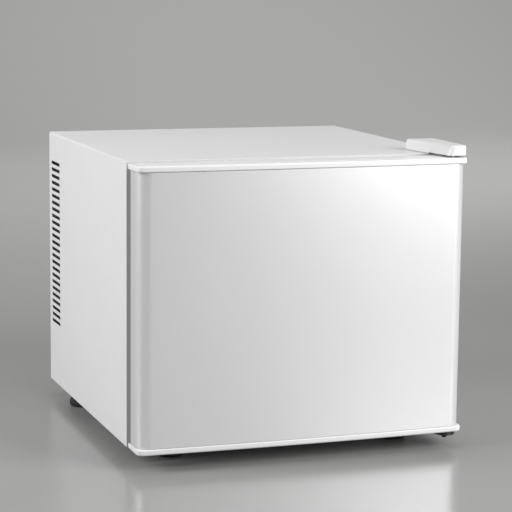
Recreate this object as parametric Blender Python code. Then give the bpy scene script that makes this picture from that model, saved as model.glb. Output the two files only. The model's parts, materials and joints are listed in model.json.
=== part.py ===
"""A small thermoelectric refrigerator: a steel box with a side-hinged door and a Peltier stack behind.

Metres, +Z up. The origin is on the floor under the middle of the object, and the door faces -Y.
Depths are measured back from the cabinet's front plane, and heights up from its underside.
"""

from math import asin, cos, pi, radians, sin, sqrt

import bmesh
import bpy
from mathutils import Matrix, Vector

MM = 0.001
GAP = 0.3 * MM  # between pieces that touch
RUNNING = 0.2 * MM  # radial play of a pin in its bush

# Cabinet
WIDTH = 385 * MM
HEIGHT = 315.5 * MM  # steel shell, without feet and hinge cover
SHELL_DEPTH = 363 * MM
FOOT_HEIGHT = 19 * MM
SHEET = 1.0 * MM
SHELL_BEND = 2 * MM
FRONT_RETURN = 26 * MM  # steel face that the door seal meets
REAR_RETURN = 12 * MM
WALL = 37 * MM  # outside of the shell to inside of the cavity
CAVITY_DEPTH = 258 * MM
CAVITY_CORNER = 12 * MM
LINER = 2 * MM
FOAM_BACK = 298 * MM

# Vents in the sides, and air intakes in the floor
VENTS = 25
VENT_PITCH = 8.33 * MM
VENT_HEIGHT = 4.2 * MM
VENT_FRONT = 309.5 * MM
VENT_LENGTH = 42.5 * MM
VENT_CORNER = 1 * MM
VENT_TOP = 37.2 * MM  # first slot's middle, below the top
INTAKES = 8
INTAKE_WIDTH = 5 * MM
INTAKE_MARGIN = 11 * MM  # from the compartment's front and back

# Door
DOOR_FRONT = 48 * MM  # front of the door at its middle
DOOR_BOW = 3.5 * MM
DOOR_DROP = 1 * MM  # door top below the cabinet top
CAP_HEIGHT = 7 * MM
CAP_CORNER = 8 * MM
CAP_BACK = 7 * MM  # back of the end caps, ahead of the cabinet
CAP_PLUG = 9 * MM  # how far a cap reaches into the panel
PANEL_INSET = 1 * MM
PANEL_SETBACK = 1 * MM
PANEL_CORNER = 16 * MM
PANEL_BACK = 13.5 * MM
SEAL_WIDTH = 12 * MM
SEAL_INSET = 15 * MM
SEAL_CORNER = 8 * MM
DYKE_CLEARANCE = 4 * MM  # ring of the door liner to the cavity wall, all round
DYKE_INSET = WALL + DYKE_CLEARANCE
DYKE_WALL = 12 * MM
DYKE_DEPTH = 18 * MM
RACK_WALL = 2 * MM
RACK_REACH = 36 * MM  # into the cavity
RACK_HEIGHT = 42 * MM
RACK_CORNER = 10 * MM

# Hinges
AXIS_INSET = 14 * MM
AXIS_AHEAD = 27 * MM
PIN_RADIUS = 3 * MM
BUSH_WALL = 1.5 * MM
BUSH_LENGTH = 12 * MM
PIN_ENTRY = 13 * MM  # how far a pin reaches into the door
HINGE_PLATE = 3 * MM
COVER_HEIGHT = 12.5 * MM
COVER_WALL = 1.6 * MM
COVER_LEAN = 5 * MM  # of its left side, at the top
COVER_LIFT = 1.5 * MM  # over the door, above the cabinet
COVER_BACK = 49 * MM  # behind the cabinet's front plane
COVER_FRONT = 42 * MM  # ahead of it

# Cooling unit
BLOCK = 40 * MM
PELTIER = 3.8 * MM
SINK_BASE = 7 * MM
COLD_SINK = (92 * MM, 96 * MM)
COLD_FINS = 11
COLD_FIN = 12 * MM
HOT_SINK = (118 * MM, 150 * MM)
HOT_FINS = 15
HOT_FIN = 20 * MM
FIN_THICK = 1.6 * MM
INNER_FAN = 62 * MM
INNER_FAN_DEPTH = 13 * MM
REAR_FAN = 92 * MM
REAR_FAN_DEPTH = 20 * MM
FAN_RING = 0.46  # radius of a fan's opening, of its frame's side
FAN_HUB = 0.19
MOTOR_DEPTH = 3.3 * MM
BLADES = 7
BLADE_THICK = 3 * MM
BLADE_SWEEP = 0.3  # radians forward from root to tip
BLADE_TWIST = 0.6  # radians over the rotor's depth
AIR_COVER = (156 * MM, 150 * MM)
AIR_SLOT = 3.4 * MM
GRILLE = 112 * MM
GRILLE_PLATE = 2 * MM

# Inside
SHELF_UP = 112 * MM  # shelf rod middle above the cavity floor
SHELF_FRONT = 46 * MM
SHELF_ROD = 2.2 * MM
SHELF_WIRES = 13
SHELF_WIRE = 1.4 * MM
SHELF_REAR = 15 * MM  # rod middle ahead of the air cover
LEDGE = 5 * MM  # height of the ribs that the shelf stands on
LEDGE_REACH = 6 * MM
CONTROL = (112 * MM, 58 * MM, 22 * MM)
CONTROL_FRONT = 62 * MM
KNOB_RADIUS = 8.5 * MM
KNOB_DEPTH = 9 * MM
SPINDLE = 2 * MM

# Mains inlet
INLET = (28 * MM, 20 * MM, 22 * MM)
INLET_PLACE = (52 * MM, 46 * MM)  # middle, from the left side and from the underside
INLET_RECESS = 16 * MM

# Feet
FOOT_RADIUS = 15.5 * MM
FRONT_FEET = (57 * MM, 25 * MM)  # in from the side, back from the front plane
REAR_FEET = (21 * MM, 283 * MM)

SCREW_HEAD = 3.6 * MM
SCREW_RADIUS = 1.6 * MM
SCREW_LENGTH = 7 * MM
HEAD_HEIGHT = 2 * MM
SCREW_HOLE = SCREW_RADIUS + RUNNING
TAIL = GAP + HEAD_HEIGHT  # what stands out behind the shell

# Worked out from the sizes above
FRONT = (DOOR_FRONT - SHELL_DEPTH - TAIL) / 2  # the cabinet's front plane
BASE = FOOT_HEIGHT
TOP = BASE + HEIGHT
HALF = WIDTH / 2
AXIS_X = HALF - AXIS_INSET
AXIS_Y = FRONT - AXIS_AHEAD
DOOR_LOW = BASE
DOOR_TOP = TOP - DOOR_DROP
PANEL_LOW = DOOR_LOW + CAP_HEIGHT
PANEL_TOP = DOOR_TOP - CAP_HEIGHT
CAVITY_HALF = HALF - WALL
CAVITY_LOW = BASE + WALL
CAVITY_TOP = TOP - WALL
CENTRE_Z = (CAVITY_LOW + CAVITY_TOP) / 2
INSIDE = SHEET + GAP
SHELF_Z = CAVITY_LOW + SHELF_UP
SINK_FRONT = CAVITY_DEPTH - GAP - SINK_BASE
FAN_FRONT = SINK_FRONT - COLD_FIN - GAP - INNER_FAN_DEPTH
AIR_COVER_FRONT = FAN_FRONT - GAP - RACK_WALL
REAR_WALL = FOAM_BACK + GAP + SHEET + GAP  # front of the compartment behind the foam
REAR_FLANGE = SHELL_DEPTH - SHEET - GAP  # back of the shell's folded rear edge
BUSH_INNER = PIN_RADIUS + RUNNING
BUSH_OUTER = BUSH_INNER + BUSH_WALL
UPPER_PLATE = TOP + GAP
LOWER_PLATE = BASE - GAP - HINGE_PLATE

WHITE_PAINT = ((0.83, 0.83, 0.84), 0.3, 0.0)
WHITE_PLASTIC = ((0.85, 0.85, 0.85), 0.4, 0.0)
GREY_PLASTIC = ((0.55, 0.56, 0.57), 0.45, 0.0)
BLACK_PLASTIC = ((0.02, 0.02, 0.02), 0.45, 0.0)
BLACK_RUBBER = ((0.015, 0.015, 0.015), 0.75, 0.0)
GREY_SEAL = ((0.62, 0.62, 0.62), 0.6, 0.0)
FOAM = ((0.85, 0.78, 0.55), 0.9, 0.0)
ALUMINIUM = ((0.75, 0.76, 0.77), 0.35, 1.0)
STEEL = ((0.6, 0.6, 0.6), 0.3, 1.0)
BLACK_STEEL = ((0.03, 0.03, 0.03), 0.4, 0.3)
CERAMIC = ((0.9, 0.9, 0.88), 0.5, 0.0)
BOARD_GREEN = ((0.03, 0.2, 0.08), 0.5, 0.0)
LENS = ((0.95, 0.95, 0.92), 0.3, 0.0)
WIRE = ((0.9, 0.9, 0.9), 0.35, 0.0)
HELPER = ((0.5, 0.5, 0.5), 0.5, 0.0)


# ---------------------------------------------------------------- outlines and solids


def arc(cx, cy, radius, start, end, steps):
    """Points along an arc, angles in degrees."""
    angles = [radians(start + (end - start) * i / steps) for i in range(steps + 1)]
    return [(cx + radius * cos(a), cy + radius * sin(a)) for a in angles]


def circle(cx, cy, radius, steps):
    return arc(cx, cy, radius, 0, 360, steps)[:-1]


def rectangle(x0, x1, y0, y1):
    return [(x0, y0), (x1, y0), (x1, y1), (x0, y1)]


def rounded(x0, x1, y0, y1, radius, steps=4):
    """A rectangle with round corners, anticlockwise."""
    corners = (
        (x1 - radius, y0 + radius, -90),
        (x1 - radius, y1 - radius, 0),
        (x0 + radius, y1 - radius, 90),
        (x0 + radius, y0 + radius, 180),
    )
    return [p for x, y, a in corners for p in arc(x, y, radius, a, a + 90, steps)]


def slot(cx, cy, length, width, steps=2):
    """A slot along the first coordinate with half-round ends."""
    reach = (length - width) / 2
    right = arc(cx + reach, cy, width / 2, -90, 90, steps)
    return right + arc(cx - reach, cy, width / 2, 90, 270, steps)


def add_prism(bm, outline, low, high, axis="Z"):
    """A closed prism. The outline's coordinates are the two other axes, in X, Y, Z order."""
    put = {
        "X": lambda a, b, h: (h, a, b),
        "Y": lambda a, b, h: (a, h, b),
        "Z": lambda a, b, h: (a, b, h),
    }[axis]
    near = [bm.verts.new(put(a, b, low)) for a, b in outline]
    far = [bm.verts.new(put(a, b, high)) for a, b in outline]
    bm.faces.new(near)
    bm.faces.new(far)
    for i in range(len(outline)):
        j = (i + 1) % len(outline)
        bm.faces.new((near[i], near[j], far[j], far[i]))


def add_turned(bm, profile, centre, steps=24, axis="Z"):
    """A solid turned about an axis through centre. The profile's points are (radius, height)."""
    turn = Matrix.Rotation(-pi / 2, 4, "X") if axis == "Y" else Matrix()
    place = Matrix.Translation(centre) @ turn
    rings = []
    for radius, height in profile:
        if radius < 1e-6:
            rings.append([bm.verts.new(place @ Vector((0, 0, height)))])
        else:
            ring = circle(0, 0, radius, steps)
            rings.append([bm.verts.new(place @ Vector((x, y, height))) for x, y in ring])
    for lower, upper in zip(rings, rings[1:]):
        for i in range(steps):
            j = (i + 1) % steps
            near = [lower[i % len(lower)], lower[j % len(lower)]]
            far = [upper[j % len(upper)], upper[i % len(upper)]]
            bm.faces.new(list(dict.fromkeys(near + far)))
    for ring in (rings[0], rings[-1]):
        if len(ring) > 1:
            bm.faces.new(ring)


def material(name, look):
    colour, roughness, metallic = look
    made = bpy.data.materials.new(name)
    made.use_nodes = True
    shader = made.node_tree.nodes["Principled BSDF"]
    shader.inputs["Base Color"].default_value = (*colour, 1)
    shader.inputs["Roughness"].default_value = roughness
    shader.inputs["Metallic"].default_value = metallic
    return made


def make(name, bm, look, pivot=(0, 0, 0), parent=None):
    """An object of the mesh, with its origin at pivot and its own material."""
    bmesh.ops.recalc_face_normals(bm, faces=bm.faces)
    bm.transform(Matrix.Translation(-Vector(pivot)))
    mesh = bpy.data.meshes.new(name)
    bm.to_mesh(mesh)
    bm.free()
    mesh.materials.append(material(name, look))
    mesh.shade_smooth()
    mesh.set_sharp_from_angle(angle=radians(35))
    made = bpy.data.objects.new(name, mesh)
    bpy.context.scene.collection.objects.link(made)
    made.location = Vector(pivot)
    if parent:
        made.location -= parent.location
        made.parent = parent
    return made


def prism(name, outline, low, high, axis, look, **where):
    bm = bmesh.new()
    add_prism(bm, outline, low, high, axis)
    return make(name, bm, look, **where)


def turned(name, profile, centre, look, steps=24, axis="Z", **where):
    bm = bmesh.new()
    add_turned(bm, profile, centre, steps, axis)
    return make(name, bm, look, **where)


def helper(name, bm):
    """A cutter or an addition, which isn't a piece itself."""
    made = make(name, bm, HELPER)
    made.hide_render = True
    made.display_type = "WIRE"
    return made


def apply_shape(target, operation, shapes):
    """Cuts from or joins to the target. Each shape is (outline, low, high, axis), clear of the rest."""
    bm = bmesh.new()
    for outline, low, high, axis in shapes:
        add_prism(bm, outline, low, high, axis)
    tool = helper(f"{target.name}.{operation.lower()}.{len(target.modifiers)}", bm)
    change = target.modifiers.new(operation.title(), "BOOLEAN")
    change.operation = operation
    change.object = tool


def cut(target, *shapes):
    apply_shape(target, "DIFFERENCE", shapes)


def join(target, *shapes):
    apply_shape(target, "UNION", shapes)


def holes(places, radius, low, high, axis, steps=12):
    """Round cutters, one at each place."""
    return [(circle(a, b, radius, steps), low, high, axis) for a, b in places]


def soften(target, width, segments, angle):
    """Rounds the edges that are sharper than angle, in degrees."""
    bevel = target.modifiers.new("Soft edges", "BEVEL")
    bevel.width = width
    bevel.segments = segments
    bevel.limit_method = "ANGLE"
    bevel.angle_limit = radians(angle)


def back(depth):
    """Y of a depth behind the cabinet's front plane."""
    return FRONT + depth


# ---------------------------------------------------------------- cabinet


def shell_outline(inset, radius):
    """Front view of the wrap-around sheet's inside or outside, running below the open underside."""
    x = HALF - inset
    low = BASE - (5 * MM if inset else 0)
    high = TOP - inset
    right = arc(x - radius, high - radius, radius, 0, 90, 4)
    left = arc(-x + radius, high - radius, radius, 90, 180, 4)
    return [(-x, low), (x, low)] + right + left


def cabinet_shell():
    """The top and sides in one folded sheet, with a front face, a rear flange and the side vents."""
    outline = shell_outline(0, SHELL_BEND)
    shell = prism("cabinet_shell", outline, FRONT, back(SHELL_DEPTH), "Y", WHITE_PAINT)
    inner = shell_outline(SHEET, SHELL_BEND - SHEET)
    front_opening = shell_outline(FRONT_RETURN, 2 * MM)
    rear_opening = shell_outline(REAR_RETURN, 2 * MM)
    rear = (back(REAR_FLANGE - 2 * SHEET), back(REAR_FLANGE + SHEET), "Y")
    cut(shell, (inner, back(SHEET), back(REAR_FLANGE - SHEET), "Y"))
    cut(shell, (front_opening, back(-SHEET), back(2 * SHEET), "Y"))
    cut(shell, (rear_opening, *rear))
    cut(shell, (inner, back(REAR_FLANGE), back(SHELL_DEPTH + SHEET), "Y"))
    cut(shell, *vents())
    cut(shell, *holes(back_screw_places(), SCREW_HOLE, *rear))
    cut(shell, *holes(upper_screw_places(), SCREW_HOLE, TOP - 3 * SHEET, TOP + SHEET, "Z"))


def vents():
    """One cutter for each pair of slots, through both sides."""
    near, far, rise = back(VENT_FRONT), back(VENT_FRONT + VENT_LENGTH), VENT_HEIGHT / 2
    heights = [TOP - VENT_TOP - i * VENT_PITCH for i in range(VENTS)]
    through = (-HALF - SHEET, HALF + SHEET, "X")
    return [(rounded(near, far, z - rise, z + rise, VENT_CORNER, 2), *through) for z in heights]


def bottom_panel():
    """The floor of the cabinet, with its front edge folded up and air intakes at the rear."""
    side = HALF - INSIDE
    tab = HALF - FRONT_RETURN - GAP
    rear = back(REAR_FLANGE - SHEET - GAP)
    outline = [(-side, back(INSIDE)), (-tab, back(INSIDE)), (-tab, FRONT), (tab, FRONT)]
    outline += [(tab, back(INSIDE)), (side, back(INSIDE)), (side, rear), (-side, rear)]
    panel = prism("bottom_panel", outline, BASE, BASE + SHEET, "Z", WHITE_PAINT)
    join(panel, (rectangle(-tab, tab, FRONT, back(SHEET)), BASE, BASE + FRONT_RETURN, "Z"))
    through = (BASE - SHEET, BASE + 2 * SHEET, "Z")
    near, far = back(FOAM_BACK + INTAKE_MARGIN), back(SHELL_DEPTH - INTAKE_MARGIN)
    half = INTAKE_WIDTH / 2
    places = spread(INTAKES, HOT_SINK[0])
    cut(panel, *[(rectangle(x - half, x + half, near, far), *through) for x in places])
    cut(panel, *holes(lower_screw_places(), SCREW_HOLE, *through))


def spread(count, width, middle=0.0):
    """Evenly spaced places from one end of a width to the other."""
    return [middle - width / 2 + width * i / (count - 1) for i in range(count)]


def back_screw_places():
    x = HALF - SHEET - REAR_RETURN / 2
    return [(s * x, z) for s in (-1, 1) for z in spread(3, HEIGHT - 60 * MM, BASE + HEIGHT / 2)]


def back_panel():
    x = HALF - SHEET - GAP
    outline = rounded(-x, x, BASE + GAP, TOP - SHEET - GAP, SHELL_BEND, 3)
    panel = prism("back_panel", outline, back(SHELL_DEPTH - SHEET), back(SHELL_DEPTH), "Y", WHITE_PAINT)
    reach = (back(SHELL_DEPTH - 2 * SHEET), back(SHELL_DEPTH + SHEET), "Y")
    window = rounded(*inlet_box(GAP), 2 * MM, 3)
    cut(panel, (circle(0, CENTRE_Z, REAR_FAN * FAN_RING, 32), *reach), (window, *reach))
    cut(panel, *holes(back_screw_places(), SCREW_HOLE, *reach))


def compartment_wall():
    x = HALF - INSIDE
    low, high = BASE + SHEET + GAP, TOP - INSIDE
    outline = rounded(-x, x, low, high, SHELL_BEND, 3)
    near = back(FOAM_BACK + GAP)
    wall = prism("compartment_wall", outline, near, near + SHEET, "Y", STEEL)
    cut(wall, (block_square(2 * MM), back(FOAM_BACK - SHEET), back(FOAM_BACK + 3 * SHEET), "Y"))


def block_square(play=0.0):
    h = BLOCK / 2 + play
    return rectangle(-h, h, CENTRE_Z - h, CENTRE_Z + h)


def cabinet_foam():
    x = HALF - INSIDE
    start = INSIDE + LINER + GAP
    outline = rounded(-x, x, BASE + SHEET + GAP, TOP - INSIDE, SHELL_BEND, 3)
    foam = prism("cabinet_foam", outline, back(start), back(FOAM_BACK), "Y", FOAM)
    hx = CAVITY_HALF + LINER + GAP
    pocket = rounded(-hx, hx, CAVITY_LOW - LINER - GAP, CAVITY_TOP + LINER + GAP, CAVITY_CORNER, 3)
    cut(foam, (pocket, back(0), back(CAVITY_DEPTH + LINER + GAP), "Y"))
    cut(foam, (block_square(GAP), back(CAVITY_DEPTH - SHEET), back(FOAM_BACK + SHEET), "Y"))
    radius, reach = SCREW_RADIUS + GAP, SCREW_LENGTH + SHEET
    cut(foam, *holes(lower_screw_places(), radius, BASE - SHEET, BASE + reach, "Z", 10))
    cut(foam, *holes(upper_screw_places(), radius, TOP - reach, TOP + SHEET, "Z", 10))


def inner_liner():
    """The moulded cavity, with a rim behind the front face and ribs that carry the shelf."""
    start, flange = back(INSIDE), back(INSIDE + LINER)
    x = HALF - INSIDE - SHEET
    outline = rounded(-x, x, BASE + 2 * INSIDE, TOP - 2 * INSIDE, SHELL_BEND, 3)
    liner = prism("inner_liner", outline, start, flange, "Y", WHITE_PLASTIC)
    hx = CAVITY_HALF + LINER
    tub = rounded(-hx, hx, CAVITY_LOW - LINER, CAVITY_TOP + LINER, CAVITY_CORNER + LINER, 5)
    join(liner, (tub, back(INSIDE + LINER / 2), back(CAVITY_DEPTH + LINER), "Y"))
    cavity = rounded(-CAVITY_HALF, CAVITY_HALF, CAVITY_LOW, CAVITY_TOP, CAVITY_CORNER, 5)
    cut(liner, (cavity, back(-SHEET), back(CAVITY_DEPTH), "Y"))
    cut(liner, (block_square(2 * MM), back(CAVITY_DEPTH - SHEET), back(CAVITY_DEPTH + 2 * LINER), "Y"))
    join(liner, *ledges())


def ledges():
    """The pair of ribs under the shelf."""
    top = SHELF_Z - SHELF_ROD - GAP
    near, far = back(SHELF_FRONT - 8 * MM), back(CAVITY_DEPTH + LINER / 2)
    outer, inner = CAVITY_HALF + LINER / 2, CAVITY_HALF - LEDGE_REACH
    sides = (rectangle(-outer, -inner, near, far), rectangle(inner, outer, near, far))
    return [(outline, top - LEDGE, top, "Z") for outline in sides]


def foot_places():
    """X and Y of each foot, by name."""
    places = {}
    for side, sign in (("left", -1), ("right", 1)):
        for end, (inset, depth) in (("front", FRONT_FEET), ("rear", REAR_FEET)):
            places[f"foot_{end}_{side}"] = (sign * (HALF - inset), back(depth))
    return places


def feet():
    r, h = FOOT_RADIUS, FOOT_HEIGHT - GAP
    profile = [(r - 2.5 * MM, 0), (r - 0.3 * MM, 2 * MM), (r, 6 * MM)]
    profile += [(r - 1.5 * MM, 9 * MM), (r - 3.5 * MM, h)]
    for name, (x, y) in foot_places().items():
        turned(name, profile, (x, y, 0), BLACK_RUBBER, 20)


# ---------------------------------------------------------------- screws


def screw(name, place, axis, look):
    """A pan-head screw whose head sits at place and points along axis, '+Y', '+Z' or '-Z'."""
    profile = [(0, -SCREW_LENGTH), (SCREW_RADIUS, -SCREW_LENGTH + SCREW_RADIUS), (SCREW_RADIUS, 0)]
    profile += [(SCREW_HEAD, 0), (SCREW_HEAD, HEAD_HEIGHT * 0.55)]
    profile += [(SCREW_HEAD * 0.6, HEAD_HEIGHT), (0, HEAD_HEIGHT)]
    if axis == "-Z":
        profile = [(r, -h) for r, h in profile]
    turned(name, profile, place, look, 10, axis[1])


def upper_screw_places():
    return [(AXIS_X - 4 * MM, back(d)) for d in (14 * MM, 34 * MM)]


def lower_screw_places():
    return [(AXIS_X - 12 * MM, back(d)) for d in (12 * MM, 32 * MM)]


def screws():
    for i, (x, z) in enumerate(back_screw_places()):
        screw(f"back_screw_{i + 1}", (x, back(SHELL_DEPTH + GAP), z), "+Y", STEEL)
    for i, (x, y) in enumerate(upper_screw_places()):
        screw(f"top_hinge_screw_{i + 1}", (x, y, UPPER_PLATE + HINGE_PLATE + GAP), "+Z", STEEL)
    for i, (x, y) in enumerate(lower_screw_places()):
        screw(f"bottom_hinge_screw_{i + 1}", (x, y, LOWER_PLATE - GAP), "-Z", BLACK_STEEL)


# ---------------------------------------------------------------- hinges


def plate_outline(inner, outer, rear, tongue):
    """A hinge plate that narrows from the cabinet to a round tongue about the door's axis."""
    left, right = AXIS_X - inner, AXIS_X + outer
    nose = arc(AXIS_X, AXIS_Y, tongue, 0, -180, 10)
    return [(right, rear), (right, FRONT)] + nose + [(left, FRONT), (left, rear)]


def hinge_pin(name, shoulder, length, head, up, look):
    """A pin with its head on the plate and its shank along the door's axis."""
    sign = 1 if up else -1
    r, rim, bevel = PIN_RADIUS, PIN_RADIUS + 2 * MM, 1 * MM
    profile = [(0, -head), (r, -head), (rim, -head + bevel), (rim, 0), (r, 0)]
    profile += [(r, length - bevel), (r - bevel, length), (0, length)]
    turned(name, [(q, sign * h) for q, h in profile], (AXIS_X, AXIS_Y, shoulder), look)


def top_hinge():
    outline = plate_outline(12 * MM, 8 * MM, back(42 * MM), 6.5 * MM)
    plate = prism("top_hinge_plate", outline, UPPER_PLATE, UPPER_PLATE + HINGE_PLATE, "Z", STEEL)
    reach = (UPPER_PLATE - SHEET, UPPER_PLATE + HINGE_PLATE + SHEET, "Z")
    cut(plate, *holes(upper_screw_places(), SCREW_HOLE, *reach))
    cut(plate, (circle(AXIS_X, AXIS_Y, BUSH_INNER, 24), *reach))
    shoulder = UPPER_PLATE + HINGE_PLATE + GAP
    length = shoulder - (DOOR_TOP - PIN_ENTRY)
    hinge_pin("top_hinge_pin", shoulder, length, 2.5 * MM, False, STEEL)


def bottom_hinge():
    outline = plate_outline(21 * MM, 11.5 * MM, back(44 * MM), 11.5 * MM)
    plate = prism("bottom_hinge_plate", outline, LOWER_PLATE, LOWER_PLATE + HINGE_PLATE, "Z", BLACK_STEEL)
    reach = (LOWER_PLATE - SHEET, LOWER_PLATE + HINGE_PLATE + SHEET, "Z")
    cut(plate, *holes(lower_screw_places(), SCREW_HOLE, *reach))
    cut(plate, (circle(AXIS_X, AXIS_Y, BUSH_INNER, 24), *reach))
    shoulder = LOWER_PLATE - GAP
    length = DOOR_LOW + PIN_ENTRY - shoulder
    hinge_pin("bottom_hinge_pin", shoulder, length, 6 * MM, True, BLACK_STEEL)


def cover_outline(inset, lean=0.0):
    """Plan of the hinge cover: wide on the cabinet, narrow over the door. lean moves its left side in."""
    right = HALF - 1 * MM - inset
    rear, front = back(COVER_BACK - inset), back(-COVER_FRONT + inset)
    left = [HALF - d + inset + lean for d in (37 * MM, 30 * MM, 25 * MM)]
    r = 6 * MM - inset
    points = [(right, rear), (left[0] - lean * 0.7, rear), (left[1], FRONT)]
    points += arc(left[2] + r, front + r, r, 180, 270, 5)
    return points + arc(right - r, front + r, r, 270, 360, 5)


def hinge_cover():
    """A hollow moulding whose left side leans in, open below and raised a little over the door."""
    bm = bmesh.new()
    rings = [(cover_outline(0), TOP + GAP), (cover_outline(0, COVER_LEAN), TOP + COVER_HEIGHT)]
    low, high = [[bm.verts.new((x, y, z)) for x, y in points] for points, z in rings]
    for i in range(len(low)):
        j = (i + 1) % len(low)
        bm.faces.new((low[i], low[j], high[j], high[i]))
    bm.faces.new(low)
    bm.faces.new(high)
    cover = make("hinge_cover", bm, WHITE_PLASTIC)
    soften(cover, 2.4 * MM, 3, 60)
    step, ceiling = TOP + 5 * MM, TOP + COVER_HEIGHT - COVER_WALL
    over_door = rectangle(HALF - 60 * MM, HALF + 20 * MM, back(-60 * MM), back(-GAP))
    cut(cover, (cover_outline(COVER_WALL, COVER_LEAN * 0.6), step, ceiling, "Z"))
    cut(cover, (cover_outline(COVER_WALL), TOP - SHEET, step + SHEET, "Z"))
    cut(cover, (over_door, TOP - SHEET, TOP + COVER_LIFT, "Z"))


# ---------------------------------------------------------------- door


def bowed(half, front, corner, rear, steps=12):
    """Plan of a door piece: bowed front, round front corners. front and rear are distances ahead."""
    span = half - corner
    bend = (span * span + DOOR_BOW * DOOR_BOW) / (2 * DOOR_BOW)
    lean = asin(span / bend)
    centre = FRONT - front + bend
    angles = spread(steps + 1, 2 * lean)
    face = [(bend * sin(a), centre - bend * cos(a)) for a in angles]
    shoulder = face[-1][1] + corner * cos(lean)
    tilt = lean * 180 / pi
    right = arc(span - corner * sin(lean), shoulder, corner, -90 + tilt, 0, 6)[1:]
    width = right[-1][0]
    stretch = half / width
    left = [(-x, y) for x, y in reversed(right)]
    points = face + right + [(width, FRONT - rear), (-width, FRONT - rear)] + left
    return [(x * stretch, y) for x, y in points]


def inside_panel():
    """Plan of what fills the door's steel skin."""
    inset = SHEET + GAP
    rear = PANEL_BACK + LINER + SHEET + 2 * GAP
    front = DOOR_FRONT - PANEL_SETBACK - inset
    return bowed(HALF - PANEL_INSET - inset, front, PANEL_CORNER - inset, rear)


def door_cap(name, flange, plug, bush_hole, parent):
    """A moulded end: a flange that stands proud of the panel, a plug inside it and a hole for the bush."""
    pivot = (AXIS_X, AXIS_Y, sum(flange) / 2)
    outline = bowed(HALF, DOOR_FRONT, CAP_CORNER, CAP_BACK)
    cap = prism(name, outline, *flange, "Z", WHITE_PLASTIC, pivot=pivot, parent=parent)
    soften(cap, 2.2 * MM, 2, 60)
    join(cap, (inside_panel(), *plug, "Z"))
    cut(cap, (circle(AXIS_X, AXIS_Y, BUSH_OUTER + GAP, 24), *bush_hole, "Z"))


def door_caps(parent):
    root, pocket = CAP_HEIGHT / 2, PIN_ENTRY + SHEET
    flange, plug = (PANEL_TOP + GAP, DOOR_TOP), (PANEL_TOP - CAP_PLUG, PANEL_TOP + root)
    door_cap("door_top_cap", flange, plug, (DOOR_TOP - pocket, DOOR_TOP + SHEET), parent)
    flange, plug = (DOOR_LOW, PANEL_LOW - GAP), (PANEL_LOW - root, PANEL_LOW + CAP_PLUG)
    door_cap("door_bottom_cap", flange, plug, (DOOR_LOW - SHEET, DOOR_LOW + pocket), parent)


def door_panel(parent):
    """The steel skin: bowed front, round edges and side returns, with a lip folded in at the back."""
    half, front = HALF - PANEL_INSET, DOOR_FRONT - PANEL_SETBACK
    pivot = (AXIS_X, AXIS_Y, (PANEL_LOW + PANEL_TOP) / 2)
    outer = bowed(half, front, PANEL_CORNER, PANEL_BACK)
    panel = prism(
        "door_panel", outer, PANEL_LOW, PANEL_TOP, "Z", WHITE_PAINT, pivot=pivot, parent=parent
    )
    inner = bowed(half - SHEET, front - SHEET, PANEL_CORNER - SHEET, PANEL_BACK + SHEET)
    through = (PANEL_LOW - SHEET, PANEL_TOP + SHEET, "Z")
    cut(panel, (inner, *through))
    lip = half - 7 * MM
    opening = rectangle(-lip, lip, back(-PANEL_BACK - 2 * SHEET), back(-PANEL_BACK + SHEET))
    cut(panel, (opening, *through))


def door_foam(parent):
    pivot = (AXIS_X, AXIS_Y, (PANEL_LOW + PANEL_TOP) / 2)
    low, high = PANEL_LOW + CAP_PLUG + GAP, PANEL_TOP - CAP_PLUG - GAP
    prism("door_foam", inside_panel(), low, high, "Z", FOAM, pivot=pivot, parent=parent)


def dyke_corners(inset):
    """The inner door's raised ring, as low and high X and Z."""
    return (-HALF + inset, HALF - inset, BASE + inset, TOP - inset)


def door_liner(parent):
    """The inner door: a flat sheet behind the panel's lips, with a raised ring that holds the racks."""
    pivot = (AXIS_X, AXIS_Y, CENTRE_Z)
    sheet_front = back(-PANEL_BACK - SHEET - GAP - LINER)
    sheet_back = back(-PANEL_BACK - SHEET - GAP)
    x = HALF - PANEL_INSET - SHEET - GAP
    outline = rectangle(-x, x, PANEL_LOW + GAP, PANEL_TOP - GAP)
    liner = prism(
        "door_liner", outline, sheet_front, sheet_back, "Y", WHITE_PLASTIC, pivot=pivot, parent=parent
    )
    ring_back = back(-PANEL_BACK + DYKE_DEPTH)
    ring = rounded(*dyke_corners(DYKE_INSET), CAVITY_CORNER, 4)
    well = rounded(*dyke_corners(DYKE_INSET + DYKE_WALL), CAVITY_CORNER / 2, 3)
    join(liner, (ring, sheet_back - LINER / 2, ring_back, "Y"))
    soften(liner, 2 * MM, 2, 70)
    cut(liner, (well, sheet_back, ring_back + SHEET, "Y"))


def door_gasket(parent):
    """The magnetic seal: a foot on the inner door, a narrow bellows and a broad face to the cabinet."""
    near, far = back(-PANEL_BACK + GAP), back(-GAP)
    foot, face = near + 3 * MM, far - 5 * MM
    waist = 2.5 * MM
    pivot = (AXIS_X, AXIS_Y, CENTRE_Z)
    span = (near + SHEET, far - SHEET)
    gasket = prism("door_gasket", seal_outline(waist), *span, "Y", GREY_SEAL, pivot=pivot, parent=parent)
    join(gasket, (seal_outline(0), near, foot, "Y"), (seal_outline(0), face, far, "Y"))
    cut(gasket, (seal_outline(SEAL_WIDTH), near - SHEET, far + SHEET, "Y"))
    cut(gasket, (seal_outline(SEAL_WIDTH - waist), foot, face, "Y"))


def seal_outline(inset):
    """Front view of the seal's edge, moved in by inset."""
    x, low, high = HALF - SEAL_INSET - inset, BASE + SEAL_INSET + inset, TOP - SEAL_INSET - inset
    return rounded(-x, x, low, high, max(SEAL_CORNER - inset, 3 * MM), 4)


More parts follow.
